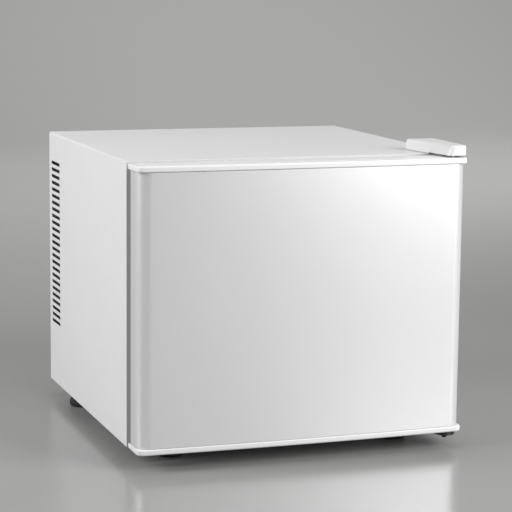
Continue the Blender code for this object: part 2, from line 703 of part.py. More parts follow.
def door_rack(name, floor, parent):
    """A trough that clips between the ring's sides and reaches into the cavity."""
    half = HALF - DYKE_INSET - DYKE_WALL - 2 * GAP
    start, end = back(-PANEL_BACK - SHEET + GAP), back(RACK_REACH)
    pivot = (AXIS_X, AXIS_Y, floor)
    r, w, top = RACK_CORNER, RACK_WALL, floor + RACK_HEIGHT
    ends = arc(half - r, end - r, r, 0, 90, 4) + arc(-half + r, end - r, r, 90, 180, 4)
    plan = [(-half, start), (half, start)] + ends
    rack = prism(name, plan, floor, top, "Z", WHITE_PLASTIC, pivot=pivot, parent=parent)
    inner = rounded(-half + w, half - w, start + w, end - w, r - w, 4)
    cut(rack, (inner, floor + w, top + SHEET, "Z"))
    side = half - 16 * MM
    window = rounded(-side, side, floor + 14 * MM, top - 10 * MM, r / 2, 3)
    cut(rack, (window, end - 2 * w, end + w, "Y"))


def rack_floors():
    """Heights of the lower and the upper rack's undersides."""
    low = BASE + DYKE_INSET + DYKE_WALL + 7 * MM
    high = TOP - DYKE_INSET - DYKE_WALL
    return low, (low + high) / 2 + 6 * MM


def bush(name, low, parent):
    """The plastic sleeve in the door that a pin turns in."""
    pivot = (AXIS_X, AXIS_Y, low)
    outside = circle(AXIS_X, AXIS_Y, BUSH_OUTER, 24)
    sleeve = prism(name, outside, low, low + BUSH_LENGTH, "Z", GREY_PLASTIC, pivot=pivot, parent=parent)
    bore = circle(AXIS_X, AXIS_Y, BUSH_INNER, 24)
    cut(sleeve, (bore, low - SHEET, low + BUSH_LENGTH + SHEET, "Z"))


def door():
    axis = bpy.data.objects.new("door_axis", None)
    bpy.context.scene.collection.objects.link(axis)
    axis.location = (AXIS_X, AXIS_Y, BASE)
    door_panel(axis)
    door_caps(axis)
    door_foam(axis)
    door_liner(axis)
    door_gasket(axis)
    low, high = rack_floors()
    door_rack("door_rack_lower", low, axis)
    door_rack("door_rack_upper", high, axis)
    bush("top_hinge_bush", DOOR_TOP - PIN_ENTRY, axis)
    bush("bottom_hinge_bush", DOOR_LOW + PIN_ENTRY - BUSH_LENGTH, axis)


# ---------------------------------------------------------------- cooling unit


def comb(width, base_from, base_to, fins, fin, thick):
    """Plan of a finned heat sink: a base with fins that reach fin beyond base_to."""
    points = [(-width / 2, base_from), (width / 2, base_from)]
    places = spread(fins, width - thick)
    for x in reversed(places):
        right, left, tip = x + thick / 2, x - thick / 2, base_to + fin
        points += [(right, base_to), (right, tip), (left, tip), (left, base_to)]
    unique = list(dict.fromkeys(points))
    return [p for p in unique if p not in ((width / 2, base_to), (-width / 2, base_to))]


def heat_sinks():
    """The stack from the cold fins through the wall to the hot fins. Returns the depth where it ends."""
    w, h = COLD_SINK
    plan = comb(w, back(CAVITY_DEPTH - GAP), back(SINK_FRONT), COLD_FINS, -COLD_FIN, FIN_THICK)
    prism("cold_sink", plan, CENTRE_Z - h / 2, CENTRE_Z + h / 2, "Z", ALUMINIUM)
    start = FOAM_BACK + 2 * MM + GAP
    prism("spacer_block", block_square(-GAP), back(CAVITY_DEPTH), back(start), "Y", ALUMINIUM)
    module = start + GAP
    prism("peltier_module", block_square(-GAP), back(module), back(module + PELTIER), "Y", CERAMIC)
    w, h = HOT_SINK
    base = start + 2 * GAP + PELTIER
    plan = comb(w, back(base), back(base + SINK_BASE), HOT_FINS, HOT_FIN, FIN_THICK)
    prism("hot_sink", plan, CENTRE_Z - h / 2, CENTRE_Z + h / 2, "Z", ALUMINIUM)
    return base + SINK_BASE + HOT_FIN


def fan(prefix, size, depth, near, look, struts_behind):
    """An axial fan in a square frame. Its rotor turns along Y through the cooling unit's middle."""
    half, ring = size / 2, size * FAN_RING
    start, end = back(near), back(near + depth)
    outline = rounded(-half, half, CENTRE_Z - half, CENTRE_Z + half, 4 * MM, 3)
    frame = prism(f"{prefix}_frame", outline, start, end, "Y", look)
    cut(frame, (circle(0, CENTRE_Z, ring, 32), start - SHEET, end + SHEET, "Y"))
    side, face = (-1, end) if struts_behind else (1, start)
    strut = sorted((face + side * 0.5 * MM, face + side * 2.5 * MM))
    boss = sorted((face + side * 0.2 * MM, face + side * MOTOR_DEPTH))
    rotor = sorted((face + side * (MOTOR_DEPTH + 0.6 * MM), face + side * (depth - 1 * MM)))
    join(frame, (strut_cross(ring + 2 * MM), *strut, "Y"))
    join(frame, (circle(0, CENTRE_Z, size * FAN_HUB, 24), *boss, "Y"))
    fan_rotor(f"{prefix}_rotor", size * FAN_HUB, ring - 1.2 * MM, *rotor, look)


def strut_cross(reach):
    """Front view of the four struts that hold a fan's motor."""
    t = 1.4 * MM
    right = [(t, -t), (reach, -t), (reach, t), (t, t)]
    left = [(-x, -z) for x, z in right]
    points = right + [(t, reach), (-t, reach)] + left + [(-t, -reach), (t, -reach)]
    unique = list(dict.fromkeys(points))
    return [(x, CENTRE_Z + z) for x, z in unique]


def rotor_outline(hub, tip, turn):
    """Front view of a hub with swept blades, as X and Z about the axis."""
    points = []
    half_way, pitch = (hub + tip) / 2, 2 * pi / BLADES
    edge = ((hub, -1), (half_way, -1), (tip, -1), (tip, 1), (half_way, 1), (hub, 1))
    for i in range(BLADES):
        angle = turn + pitch * i
        for radius, side in edge:
            sweep = BLADE_SWEEP * (radius - hub) / (tip - hub)
            points.append(polar(radius, angle + sweep + side * BLADE_THICK / 2 / radius))
        points += [polar(hub, angle + pitch * k / 3) for k in (1, 2)]
    return points


def polar(radius, angle):
    return (radius * cos(angle), radius * sin(angle))


def fan_rotor(name, hub, tip, start, end, look):
    """Hub and blades in one moulding, drawn out along the axis with a twist that pitches the blades."""
    bm = bmesh.new()
    layers = 4
    rings = []
    for k in range(layers + 1):
        y = start + (end - start) * k / layers
        outline = rotor_outline(hub, tip, BLADE_TWIST * k / layers)
        rings.append([bm.verts.new((x, y, CENTRE_Z + z)) for x, z in outline])
    for near, far in zip(rings, rings[1:]):
        for i in range(len(near)):
            j = (i + 1) % len(near)
            bm.faces.new((near[i], near[j], far[j], far[i]))
    bm.faces.new(rings[0])
    bm.faces.new(rings[-1])
    make(name, bm, look, pivot=(0, (start + end) / 2, CENTRE_Z))


def slots_in_circle(radius, count, pitch):
    """Height and length of each slot that together fill a circle."""
    heights = spread(count, (count - 1) * pitch)
    return [(z, 2 * sqrt(radius * radius - z * z)) for z in heights]


def air_cover():
    """The plastic housing over the cold side, with an inlet before the fan and outlets above and below."""
    w, h = AIR_COVER
    near, far = back(AIR_COVER_FRONT), back(CAVITY_DEPTH - GAP)
    x, z0, z1 = w / 2, CENTRE_Z - h / 2, CENTRE_Z + h / 2
    cover = prism("air_cover", rounded(-x, x, z0, z1, 9 * MM, 4), near, far, "Y", WHITE_PLASTIC)
    t = RACK_WALL
    cut(cover, (rounded(-x + t, x - t, z0 + t, z1 - t, 7 * MM, 4), near + t, far + SHEET, "Y"))
    ring = INNER_FAN * FAN_RING - 1.2 * MM
    openings = [(0, CENTRE_Z + z, length) for z, length in slots_in_circle(ring, 9, ring / 4.6)]
    for edge in (z0 + 12 * MM, z0 + 20 * MM, z1 - 20 * MM, z1 - 12 * MM):
        openings.append((0, edge, w * 0.66))
    reach = (near - SHEET, near + 2 * t, "Y")
    cut(cover, *[(slot(x, z, length, AIR_SLOT), *reach) for x, z, length in openings])


def rear_grille():
    """The guard over the rear fan: a plate with rows of slots either side of a middle rib."""
    half = GRILLE / 2
    near = back(SHELL_DEPTH + GAP)
    outline = rounded(-half, half, CENTRE_Z - half, CENTRE_Z + half, 8 * MM, 4)
    grille = prism("rear_grille", outline, near, near + GRILLE_PLATE, "Y", BLACK_PLASTIC)
    ring = REAR_FAN * FAN_RING - 1 * MM
    reach = (near - SHEET, near + 2 * GRILLE_PLATE, "Y")
    slots = []
    for z, length in slots_in_circle(ring, 13, ring / 6.5):
        for side in (-1, 1):
            middle = side * (length / 4 + 1 * MM)
            slots.append((slot(middle, CENTRE_Z + z, length / 2 - 2 * MM, 4 * MM), *reach))
    cut(grille, *slots)


def cooling_unit():
    fins_end = heat_sinks()
    fan("rear_fan", REAR_FAN, REAR_FAN_DEPTH, fins_end + GAP, BLACK_PLASTIC, True)
    fan("inner_fan", INNER_FAN, INNER_FAN_DEPTH, FAN_FRONT, WHITE_PLASTIC, False)
    air_cover()
    rear_grille()


# ---------------------------------------------------------------- electrics


def inlet_box(grow=0.0):
    """Low and high X and Z of the mains inlet's body."""
    x, z = -HALF + INLET_PLACE[0], BASE + INLET_PLACE[1]
    w, h = INLET[0] / 2 + grow, INLET[1] / 2 + grow
    return (x - w, x + w, z - h, z + h)


def mains_inlet():
    """A recessed socket for a detachable cord, held by a flange behind the back panel."""
    end = back(SHELL_DEPTH)
    flange = end - SHEET - GAP
    body = rounded(*inlet_box(), 1.5 * MM, 3)
    inlet = prism("mains_inlet", body, end - INLET[2], end, "Y", BLACK_PLASTIC)
    join(inlet, (rounded(*inlet_box(3 * MM), 3 * MM, 3), flange - 2 * MM, flange, "Y"))
    cut(inlet, (rounded(*inlet_box(-2 * MM), 2.5 * MM, 3), end - INLET_RECESS, end + SHEET, "Y"))


def power_board():
    """The supply: a board with its tallest parts, on a plastic carrier beside the hot side."""
    wall = back(REAR_WALL)
    x0, x1, z0, z1 = HALF - 110 * MM, HALF - 14 * MM, BASE + 40 * MM, BASE + 170 * MM
    outline = rounded(x0, x1, z0, z1, 4 * MM, 3)
    carrier = prism("board_carrier", outline, wall, wall + 12 * MM, "Y", BLACK_PLASTIC)
    t = 2.5 * MM
    cut(carrier, (rectangle(x0 + t, x1 - t, z0 + t, z1 - t), wall + 3 * MM, wall + 14 * MM, "Y"))
    t += GAP
    face = wall + 7 * MM
    outline = rectangle(x0 + t, x1 - t, z0 + t, z1 - t)
    board = prism("power_board", outline, face - 1.6 * MM, face, "Y", BOARD_GREEN)
    transformer = rounded(x0 + 12 * MM, x0 + 46 * MM, z0 + 66 * MM, z0 + 96 * MM, 2 * MM, 2)
    large_capacitor = circle(x0 + 66 * MM, z0 + 26 * MM, 9 * MM, 16)
    small_capacitor = circle(x0 + 22 * MM, z0 + 28 * MM, 7 * MM, 16)
    cooling_fin = rectangle(x0 + 60 * MM, x0 + 84 * MM, z0 + 84 * MM, z0 + 88 * MM)
    parts = (transformer, large_capacitor, small_capacitor, cooling_fin)
    join(board, *[(part, face - 0.5 * MM, face + 22 * MM, "Y") for part in parts])


def controls():
    """The thermostat and lamp housing under the cavity's ceiling."""
    w, d, h = CONTROL
    front = back(CONTROL_FRONT)
    low, high = CAVITY_TOP - GAP - h, CAVITY_TOP - GAP
    outline = rounded(-w / 2, w / 2, front, front + d, 6 * MM, 4)
    housing = prism("control_housing", outline, low, high, "Z", WHITE_PLASTIC)
    spindle_x, z = w / 2 - 20 * MM, (low + high) / 2
    x0, x1, z0, z1 = -w / 2 + 8 * MM, w / 2 - 40 * MM, low + 4 * MM, high - 5 * MM
    spindle_hole = circle(spindle_x, z, SPINDLE + 0.6 * MM, 16)
    window = rounded(x0, x1, z0, z1, 3 * MM, 3)
    lens = rounded(x0 + GAP, x1 - GAP, z0 + GAP, z1 - GAP, 3 * MM - GAP, 3)
    cut(housing, (spindle_hole, front - SHEET, front + 12 * MM, "Y"))
    cut(housing, (window, front - SHEET, front + 8 * MM, "Y"))
    prism("light_lens", lens, front - 1 * MM, front + 7.5 * MM, "Y", LENS)
    knob(spindle_x, front, z)


def knob(x, front, z):
    """The thermostat knob, with its spindle, and a ridge that shows where it points."""
    centre = (x, front - GAP, z)
    r, d = KNOB_RADIUS, KNOB_DEPTH
    profile = [(0, -d), (r - 1.2 * MM, -d), (r - 0.3 * MM, -d + 1 * MM), (r, 0)]
    profile += [(SPINDLE, 0), (SPINDLE, 9 * MM), (0, 9 * MM)]
    made = turned("thermostat_knob", profile, centre, GREY_PLASTIC, 24, "Y", pivot=centre)
    ridge = rounded(x - 1.3 * MM, x + 1.3 * MM, z - r + 1 * MM, z + r - 1 * MM, 1 * MM, 2)
    join(made, (ridge, front - GAP - d - 1.6 * MM, front - GAP - d + 1 * MM, "Y"))


# ---------------------------------------------------------------- shelf


def wire_shelf():
    """A welded wire shelf: a heavy frame with thinner wires across it."""
    half = CAVITY_HALF - 1.5 * MM - SHELF_ROD
    near, far = back(SHELF_FRONT), back(AIR_COVER_FRONT - SHELF_REAR)
    bm = bmesh.new()
    add_loop(bm, rounded(-half, half, near, far, 8 * MM, 3), SHELF_Z, SHELF_ROD, 8)
    shelf = make("wire_shelf", bm, WIRE)
    wires = bmesh.new()
    reach = SHELF_ROD * 0.4
    wire = [(SHELF_WIRE, 0), (SHELF_WIRE, far - near + 2 * reach)]
    for x in spread(SHELF_WIRES, 2 * half - 44 * MM):
        add_turned(wires, wire, (x, near - reach, SHELF_Z + 0.2 * MM), 6, "Y")
    change = shelf.modifiers.new("Wires", "BOOLEAN")
    change.operation = "UNION"
    change.object = helper("wire_shelf.wires", wires)


def add_loop(bm, path, z, radius, sides):
    """A round rod along a closed flat path."""
    rings = []
    count = len(path)
    for i, (x, y) in enumerate(path):
        ahead = Vector(path[(i + 1) % count]) - Vector((x, y))
        behind = Vector((x, y)) - Vector(path[i - 1])
        along = (ahead.normalized() + behind.normalized()).normalized()
        out = Vector((along.y, -along.x))
        ring = []
        for k in range(sides):
            side, rise = polar(radius, 2 * pi * (k + 0.5) / sides)
            ring.append(bm.verts.new((x + out.x * side, y + out.y * side, z + rise)))
        rings.append(ring)
    for a, b in zip(rings, rings[1:] + rings[:1]):
        for k in range(sides):
            m = (k + 1) % sides
            bm.faces.new((a[k], a[m], b[m], b[k]))


def clear_scene():
    for existing in list(bpy.data.objects):
        bpy.data.objects.remove(existing)


def build():
    clear_scene()
    cabinet_shell()
    bottom_panel()
    back_panel()
    compartment_wall()
    cabinet_foam()
    inner_liner()
    feet()
    screws()
    top_hinge()
    bottom_hinge()
    hinge_cover()
    door()
    cooling_unit()
    mains_inlet()
    power_board()
    controls()
    wire_shelf()


build()
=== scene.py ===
"""The finished look of a small white thermoelectric refrigerator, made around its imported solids.

Metres, +Z up, the door faces -Y. Depths run back from the cabinet's front plane.
"""

import json
from math import asin, cos, pi, radians, sin, sqrt

import bmesh
import bpy
from mathutils import Matrix, Vector


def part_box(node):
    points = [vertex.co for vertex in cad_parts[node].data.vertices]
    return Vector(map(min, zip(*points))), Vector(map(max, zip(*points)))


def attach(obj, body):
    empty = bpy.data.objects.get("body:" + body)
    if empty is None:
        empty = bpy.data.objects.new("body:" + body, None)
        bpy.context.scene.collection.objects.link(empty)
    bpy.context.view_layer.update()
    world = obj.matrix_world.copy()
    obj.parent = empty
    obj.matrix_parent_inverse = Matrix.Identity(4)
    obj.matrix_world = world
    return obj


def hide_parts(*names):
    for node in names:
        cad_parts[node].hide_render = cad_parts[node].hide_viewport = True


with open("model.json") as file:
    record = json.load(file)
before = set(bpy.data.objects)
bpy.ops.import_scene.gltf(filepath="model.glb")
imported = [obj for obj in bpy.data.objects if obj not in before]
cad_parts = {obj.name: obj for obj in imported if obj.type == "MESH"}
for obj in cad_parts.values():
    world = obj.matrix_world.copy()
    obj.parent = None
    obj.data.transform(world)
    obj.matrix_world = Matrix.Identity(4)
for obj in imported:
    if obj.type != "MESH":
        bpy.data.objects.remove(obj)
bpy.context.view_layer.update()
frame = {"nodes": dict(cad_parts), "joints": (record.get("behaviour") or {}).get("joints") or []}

MM = 0.001
GAP = 0.3 * MM
SHEET = 1.0 * MM
LINER = 2 * MM

SHELL_LOW, SHELL_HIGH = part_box("cabinet_shell")
FRONT, BACK = SHELL_LOW.y, SHELL_HIGH.y
BASE, TOP = SHELL_LOW.z, SHELL_HIGH.z
HALF = SHELL_HIGH.x
SWING = next(joint for joint in frame["joints"] if joint["name"] == "door_swing")
AXIS_X, AXIS_Y = SWING["pos_m"][:2]

# Cabinet
SHELL_BEND = 2 * MM
FRONT_RETURN = 26 * MM
REAR_RETURN = 12 * MM
WALL = 37 * MM
CAVITY_DEPTH = 258 * MM
CAVITY_CORNER = 12 * MM
CAVITY_HALF = HALF - WALL
CAVITY_LOW, CAVITY_TOP = BASE + WALL, TOP - WALL
CENTRE_Z = (CAVITY_LOW + CAVITY_TOP) / 2
VENTS = 25
VENT_PITCH = 8.33 * MM
VENT_HEIGHT = 4.2 * MM
VENT_LENGTH = 42.5 * MM
VENT_FRONT = 309.5 * MM
VENT_CORNER = 1 * MM
VENT_TOP = 37.2 * MM
SHELF_LEDGE = 6 * MM  # reach of the ledges under the shelf, from the cavity's sides
INTAKES = 8  # air slots in the underside
INTAKE_ROW = 118 * MM
INTAKE_HALF = 2.5 * MM
INTAKE_FRONT, INTAKE_BACK = 309 * MM, 352 * MM
RIB_NEAR, RIB_FAR = 78 * MM, 158 * MM  # the back sheet's ribs, from the middle
RIB_DROP = 104 * MM
CONTROL_DEPTH = 62 * MM  # the control box's face, behind the front plane

# Door
DOOR_FRONT = 48 * MM
DOOR_BOW = 3.5 * MM
DOOR_LOW, DOOR_TOP = BASE, TOP - 1 * MM
CAP_HEIGHT = 7 * MM
CAP_CORNER = 8 * MM
CAP_BACK = 7 * MM
PANEL_LOW, PANEL_TOP = DOOR_LOW + CAP_HEIGHT, DOOR_TOP - CAP_HEIGHT
PANEL_INSET = 1 * MM
PANEL_CORNER = 16 * MM
PANEL_BACK = 13.5 * MM
DYKE_INSET = 41 * MM
DYKE_WALL = 12 * MM
DYKE_DEPTH = 18 * MM
SEAL_INSET = 15 * MM
SEAL_WIDTH = 12 * MM
PIN_RADIUS = 3 * MM

# Cooling unit
REAR_FAN = 92 * MM
INNER_FAN = 62 * MM
FAN_RING, FAN_HUB = 0.46, 0.19  # radii of a fan's opening and hub, as shares of its frame's side
BLADES = 7
AIR_SLOT = 3.4 * MM
GUARD_SLOT = 4 * MM


# ---------------------------------------------------------------- outlines


def arc(cx, cy, radius, start, end, steps):
    """Points along an arc, angles in degrees."""
    angles = [radians(start + (end - start) * i / steps) for i in range(steps + 1)]
    return [(cx + radius * cos(a), cy + radius * sin(a)) for a in angles]


def circle(cx, cy, radius, steps=48):
    return arc(cx, cy, radius, 0, 360, steps)[:-1]


def rectangle(x0, x1, y0, y1):
    return [(x0, y0), (x1, y0), (x1, y1), (x0, y1)]


def rounded(x0, x1, y0, y1, radius, steps=8):
    """A rectangle with round corners, anticlockwise."""
    corners = (
        (x1 - radius, y0 + radius, -90),
        (x1 - radius, y1 - radius, 0),
        (x0 + radius, y1 - radius, 90),
        (x0 + radius, y0 + radius, 180),
    )
    return [p for x, y, a in corners for p in arc(x, y, radius, a, a + 90, steps)]


def slot(cx, cy, length, width, steps=8):
    """A slot along the first coordinate with half-round ends."""
    reach = (length - width) / 2
    right = arc(cx + reach, cy, width / 2, -90, 90, steps)
    return right + arc(cx - reach, cy, width / 2, 90, 270, steps)


def spread(count, width, middle=0.0):
    """Evenly spaced places from one end of a width to the other."""
    return [middle - width / 2 + width * i / (count - 1) for i in range(count)]


def back(depth):
    """Y of a depth behind the cabinet's front plane."""
    return FRONT + depth


def bowed(half, front, corner, rear, steps=40):
    """Plan of a door piece: a gently bowed front, round front corners and a straight back."""
    span = half - corner
    bend = (span * span + DOOR_BOW * DOOR_BOW) / (2 * DOOR_BOW)
    lean = asin(span / bend)
    centre = FRONT - front + bend
    face = [(bend * sin(a), centre - bend * cos(a)) for a in spread(steps + 1, 2 * lean)]
    shoulder = face[-1][1] + corner * cos(lean)
    right = arc(span - corner * sin(lean), shoulder, corner, -90 + lean * 180 / pi, 0, 14)[1:]
    width = right[-1][0]
    left = [(-x, y) for x, y in reversed(right)]
    points = face + right + [(width, FRONT - rear), (-width, FRONT - rear)] + left
    return [(x * half / width, y) for x, y in points]


# ---------------------------------------------------------------- bodies


def placed(a, b, height, axis):
    """A point from two coordinates of an outline and a height along the axis."""
    return {"X": (height, a, b), "Y": (a, height, b), "Z": (a, b, height)}[axis]


def add_stack(bm, rings, axis="Z", endless=False):
    """Joins outlines, each at its own height, into a closed body or an endless band."""
    loops = [[bm.verts.new(placed(a, b, h, axis)) for a, b in line] for line, h in rings]
    pairs = list(zip(loops, loops[1:]))
    if endless:
        pairs.append((loops[-1], loops[0]))
    else:
        bm.faces.new(loops[0])
        bm.faces.new(loops[-1])
    for lower, upper in pairs:
        for i in range(len(lower)):
            j = (i + 1) % len(lower)
            bm.faces.new((lower[i], lower[j], upper[j], upper[i]))
    return bm


def stack(rings, axis="Z", endless=False):
    return add_stack(bmesh.new(), rings, axis, endless)


def soft_rings(outline, low, high, round_low=0.0, round_high=0.0, steps=5):
    """Rings of a body with rounded rims. outline(inset) gives its plan, moved in by inset."""
    rings = []
    if round_low:
        for i in range(steps):
            a = pi / 2 * i / steps
            rings.append((outline(round_low * (1 - sin(a))), low + round_low * (1 - cos(a))))
    rings.append((outline(0), low + round_low))
    rings.append((outline(0), high - round_high))
    if round_high:
        for i in range(1, steps + 1):
            a = pi / 2 * i / steps
            rings.append((outline(round_high * (1 - cos(a))), high - round_high * (1 - sin(a))))
    return rings


def box_plan(x0, x1, y0, y1, corner, steps=8):
    """outline(inset) of a rectangle with round corners."""
    least = 0.4 * MM
    return lambda i: rounded(x0 + i, x1 - i, y0 + i, y1 - i, max(corner - i, least), steps)


def prisms(*shapes):
    """One mesh of prisms, each (outline, low, high, axis)."""
    bm = bmesh.new()
    for outline, low, high, axis in shapes:
        add_stack(bm, [(outline, low), (outline, high)], axis)
    return bm


def add_turned(bm, profile, centre, steps=48, axis="Z"):
    """A turned body about an axis through centre, from (radius, height) points."""
    turn = Matrix.Rotation(-pi / 2, 4, "X") if axis == "Y" else Matrix()
    place = Matrix.Translation(centre) @ turn
    rings = []
    for radius, height in profile:
        ring = circle(0, 0, radius, steps) if radius > 1e-6 else [(0, 0)]
        rings.append([bm.verts.new(place @ Vector((x, y, height))) for x, y in ring])
    for lower, upper in zip(rings, rings[1:]):
        for i in range(steps):
            j = (i + 1) % steps
            near = [lower[i % len(lower)], lower[j % len(lower)]]
            far = [upper[j % len(upper)], upper[i % len(upper)]]
            bm.faces.new(list(dict.fromkeys(near + far)))
    for ring in (rings[0], rings[-1]):
        if len(ring) > 1:
            bm.faces.new(ring)
    return bm


def link(name, bm):
    bmesh.ops.recalc_face_normals(bm, faces=bm.faces)
    mesh = bpy.data.meshes.new(name)
    bm.to_mesh(mesh)
    bm.free()
    made = bpy.data.objects.new(name, mesh)
    bpy.context.scene.collection.objects.link(made)
    return made


def change_shape(target, operation, bm):
    """Cuts a mesh from the target or joins it on, and throws the tool away."""
    tool = link("tool", bm)
    change = target.modifiers.new("change", "BOOLEAN")
    change.operation = operation
    change.object = tool
    bpy.context.view_layer.update()
    graph = bpy.context.evaluated_depsgraph_get()
    shaped = bpy.data.meshes.new_from_object(target.evaluated_get(graph))
    target.modifiers.clear()
    target.data = shaped
    bpy.data.objects.remove(tool)


CUT, JOIN = "DIFFERENCE", "UNION"


def piece(name, bm, look, body, stands_for, changes=(), edge=0.0, angle=40, segments=2):
    """One visible piece: its mesh, its finish, the body it rides on and the solids it stands for."""
    made = link(name, bm)
    for operation, tool in changes:
        change_shape(made, operation, tool)
    made.data.name = name
    made.data.materials.clear()
    made.data.materials.append(look)
    made.data.shade_smooth()
    if edge:
        bevel = made.modifiers.new("rounded edges", "BEVEL")
        bevel.width = edge
        bevel.segments = segments
        bevel.limit_method = "ANGLE"
        bevel.angle_limit = radians(angle)
    else:
        made.data.set_sharp_from_angle(angle=radians(angle))
    even = made.modifiers.new("even shading", "WEIGHTED_NORMAL")
    even.keep_sharp = not edge
    even.weight = 80
    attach(made, body)
    if stands_for:
        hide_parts(*stands_for)
    return made


# ---------------------------------------------------------------- effects shared by finishes


def new_group(name, inputs, outputs):
    """An empty shader group with named sockets, and its input and output nodes."""
    tree = bpy.data.node_groups.new(name, "ShaderNodeTree")
    for label, kind, value in inputs:
        socket = tree.interface.new_socket(label, in_out="INPUT", socket_type="NodeSocket" + kind)
        socket.default_value = value
    for label, kind in outputs:
        tree.interface.new_socket(label, in_out="OUTPUT", socket_type="NodeSocket" + kind)
    return tree, tree.nodes.new("NodeGroupInput"), tree.nodes.new("NodeGroupOutput")


def node(tree, kind, settings=None, links=None, **values):
    """A node with its settings, socket values and incoming links."""
    made = tree.nodes.new("ShaderNode" + kind)
    for key, value in (settings or {}).items():
        setattr(made, key, value)
    for key, value in values.items():
        made.inputs[key.replace("_", " ")].default_value = value
    for key, source in (links or {}).items():
        tree.links.new(source, made.inputs[key])
    return made


def noise(tree, scale, detail=3.0, vector=None, rough=0.5):
    """Noise over the piece's own coordinates. scale is a socket or a number."""
    if vector is None:
        vector = node(tree, "TexCoord").outputs["Object"]
    made = node(tree, "TexNoise", links={"Vector": vector}, Detail=detail, Roughness=rough)
    if isinstance(scale, (int, float)):
        made.inputs["Scale"].default_value = scale
    else:
        tree.links.new(scale, made.inputs["Scale"])
    return made.outputs["Fac"]


def calculate(tree, operation, a, b=None, clamp=False):
    """One sum of sockets or numbers."""
    made = node(tree, "Math", {"operation": operation, "use_clamp": clamp})
    for socket, value in zip(made.inputs, (a, b)):
        if isinstance(value, (int, float)):
            socket.default_value = value
        elif value is not None:
            tree.links.new(value, socket)
    return made.outputs[0]


def mix_colours(tree, share, first, second):
    made = node(tree, "Mix", {"data_type": "RGBA"})
    for index, value in ((0, share), (6, first), (7, second)):
        if isinstance(value, (int, float, tuple)):
            made.inputs[index].default_value = value
        else:
            tree.links.new(value, made.inputs[index])
    return made.outputs[2]


def make_fine_grain():
    """The small-scale relief of sprayed paint or textured moulding."""
    tree, ins, outs = new_group(
        "fine grain", [("Scale", "Float", 900.0), ("Waviness", "Float", 0.3)], [("Height", "Float")]
    )
    fine = noise(tree, ins.outputs["Scale"], 2.0)
    broad = noise(tree, calculate(tree, "MULTIPLY", ins.outputs["Scale"], 0.12), 2.0)
    wave = calculate(tree, "MULTIPLY", broad, ins.outputs["Waviness"])
    tree.links.new(calculate(tree, "ADD", fine, wave), outs.inputs["Height"])
    return tree


def make_mottling():
    """Slow changes of shade over a surface."""
    tree, ins, outs = new_group(
        "soft mottling",
        [("Color", "Color", (1, 1, 1, 1)), ("Amount", "Float", 0.05), ("Scale", "Float", 8.0)],
        [("Color", "Color")],
    )
    cloud = noise(tree, ins.outputs["Scale"], 4.0)
    darker = node(
        tree, "HueSaturation", links={"Color": ins.outputs["Color"]}, Value=0.8, Saturation=1.05
    )
    share = calculate(tree, "MULTIPLY", cloud, ins.outputs["Amount"])
    mixed = mix_colours(tree, share, ins.outputs["Color"], darker.outputs["Color"])
    tree.links.new(mixed, outs.inputs["Color"])
    return tree


def make_uneven_gloss():
    """Roughness that wanders a little about its middle value."""
    tree, ins, outs = new_group(
        "uneven gloss",
        [("Roughness", "Float", 0.4), ("Spread", "Float", 0.1), ("Scale", "Float", 30.0)],
        [("Roughness", "Float")],
    )
    cloud = calculate(tree, "SUBTRACT", noise(tree, ins.outputs["Scale"], 5.0), 0.5)
    drift = calculate(tree, "MULTIPLY", cloud, ins.outputs["Spread"])
    value = calculate(tree, "ADD", ins.outputs["Roughness"], drift, clamp=True)
    tree.links.new(value, outs.inputs["Roughness"])
    return tree


def make_rubbed_edges():
    """A mask that is strongest on outer edges, broken up as handling breaks it up."""
    tree, ins, outs = new_group("rubbed edges", [("Amount", "Float", 0.5)], [("Mask", "Float")])
    edge = node(tree, "NewGeometry").outputs["Pointiness"]
    ramp = node(tree, "MapRange", links={"Value": edge})
    ramp.inputs["From Min"].default_value = 0.52
    ramp.inputs["From Max"].default_value = 0.62
    broken = calculate(tree, "MULTIPLY", ramp.outputs["Result"], noise(tree, 60.0, 4.0))
    mask = calculate(tree, "MULTIPLY", broken, ins.outputs["Amount"], clamp=True)
    tree.links.new(mask, outs.inputs["Mask"])
    return tree


def make_resting_dust():
    """A mask of the dust that settles on what faces up."""
    tree, ins, outs = new_group("resting dust", [("Amount", "Float", 0.1)], [("Mask", "Float")])
    normal = node(tree, "NewGeometry").outputs["Normal"]
    up = node(tree, "SeparateXYZ", links={"Vector": normal}).outputs["Z"]
    level = node(tree, "MapRange", links={"Value": up})
    level.inputs["From Min"].default_value = 0.6
    level.inputs["From Max"].default_value = 1.0
    speckle = calculate(tree, "MULTIPLY", level.outputs["Result"], noise(tree, 260.0, 6.0, rough=0.7))
    mask = calculate(tree, "MULTIPLY", speckle, ins.outputs["Amount"], clamp=True)
    tree.links.new(mask, outs.inputs["Mask"])
    return tree


def make_drawn_lines():
    """Fine parallel lines, as rolling, drawing or extruding leaves them."""
    tree, ins, outs = new_group(
        "drawn lines", [("Stretch", "Vector", (400.0, 400.0, 6.0))], [("Height", "Float")]
    )
    place = node(tree, "TexCoord").outputs["Object"]
    stretched = node(tree, "VectorMath", {"operation": "MULTIPLY"})
    tree.links.new(place, stretched.inputs[0])
    tree.links.new(ins.outputs["Stretch"], stretched.inputs[1])
    lines = noise(tree, 1.0, 4.0, stretched.outputs[0])
    tree.links.new(lines, outs.inputs["Height"])
    return tree


FINE_GRAIN = make_fine_grain()
MOTTLING = make_mottling()
UNEVEN_GLOSS = make_uneven_gloss()
RUBBED_EDGES = make_rubbed_edges()
RESTING_DUST = make_resting_dust()
DRAWN_LINES = make_drawn_lines()


def place_group(tree, group, **values):
    """Places a shared effect and gives its output. Values are sockets or constants."""
    made = tree.nodes.new("ShaderNodeGroup")
    made.node_tree = group
    for key, value in values.items():
        if hasattr(value, "is_linked"):
            tree.links.new(value, made.inputs[key])
        else:
            made.inputs[key].default_value = value
    return made.outputs[0]


# ---------------------------------------------------------------- finishes


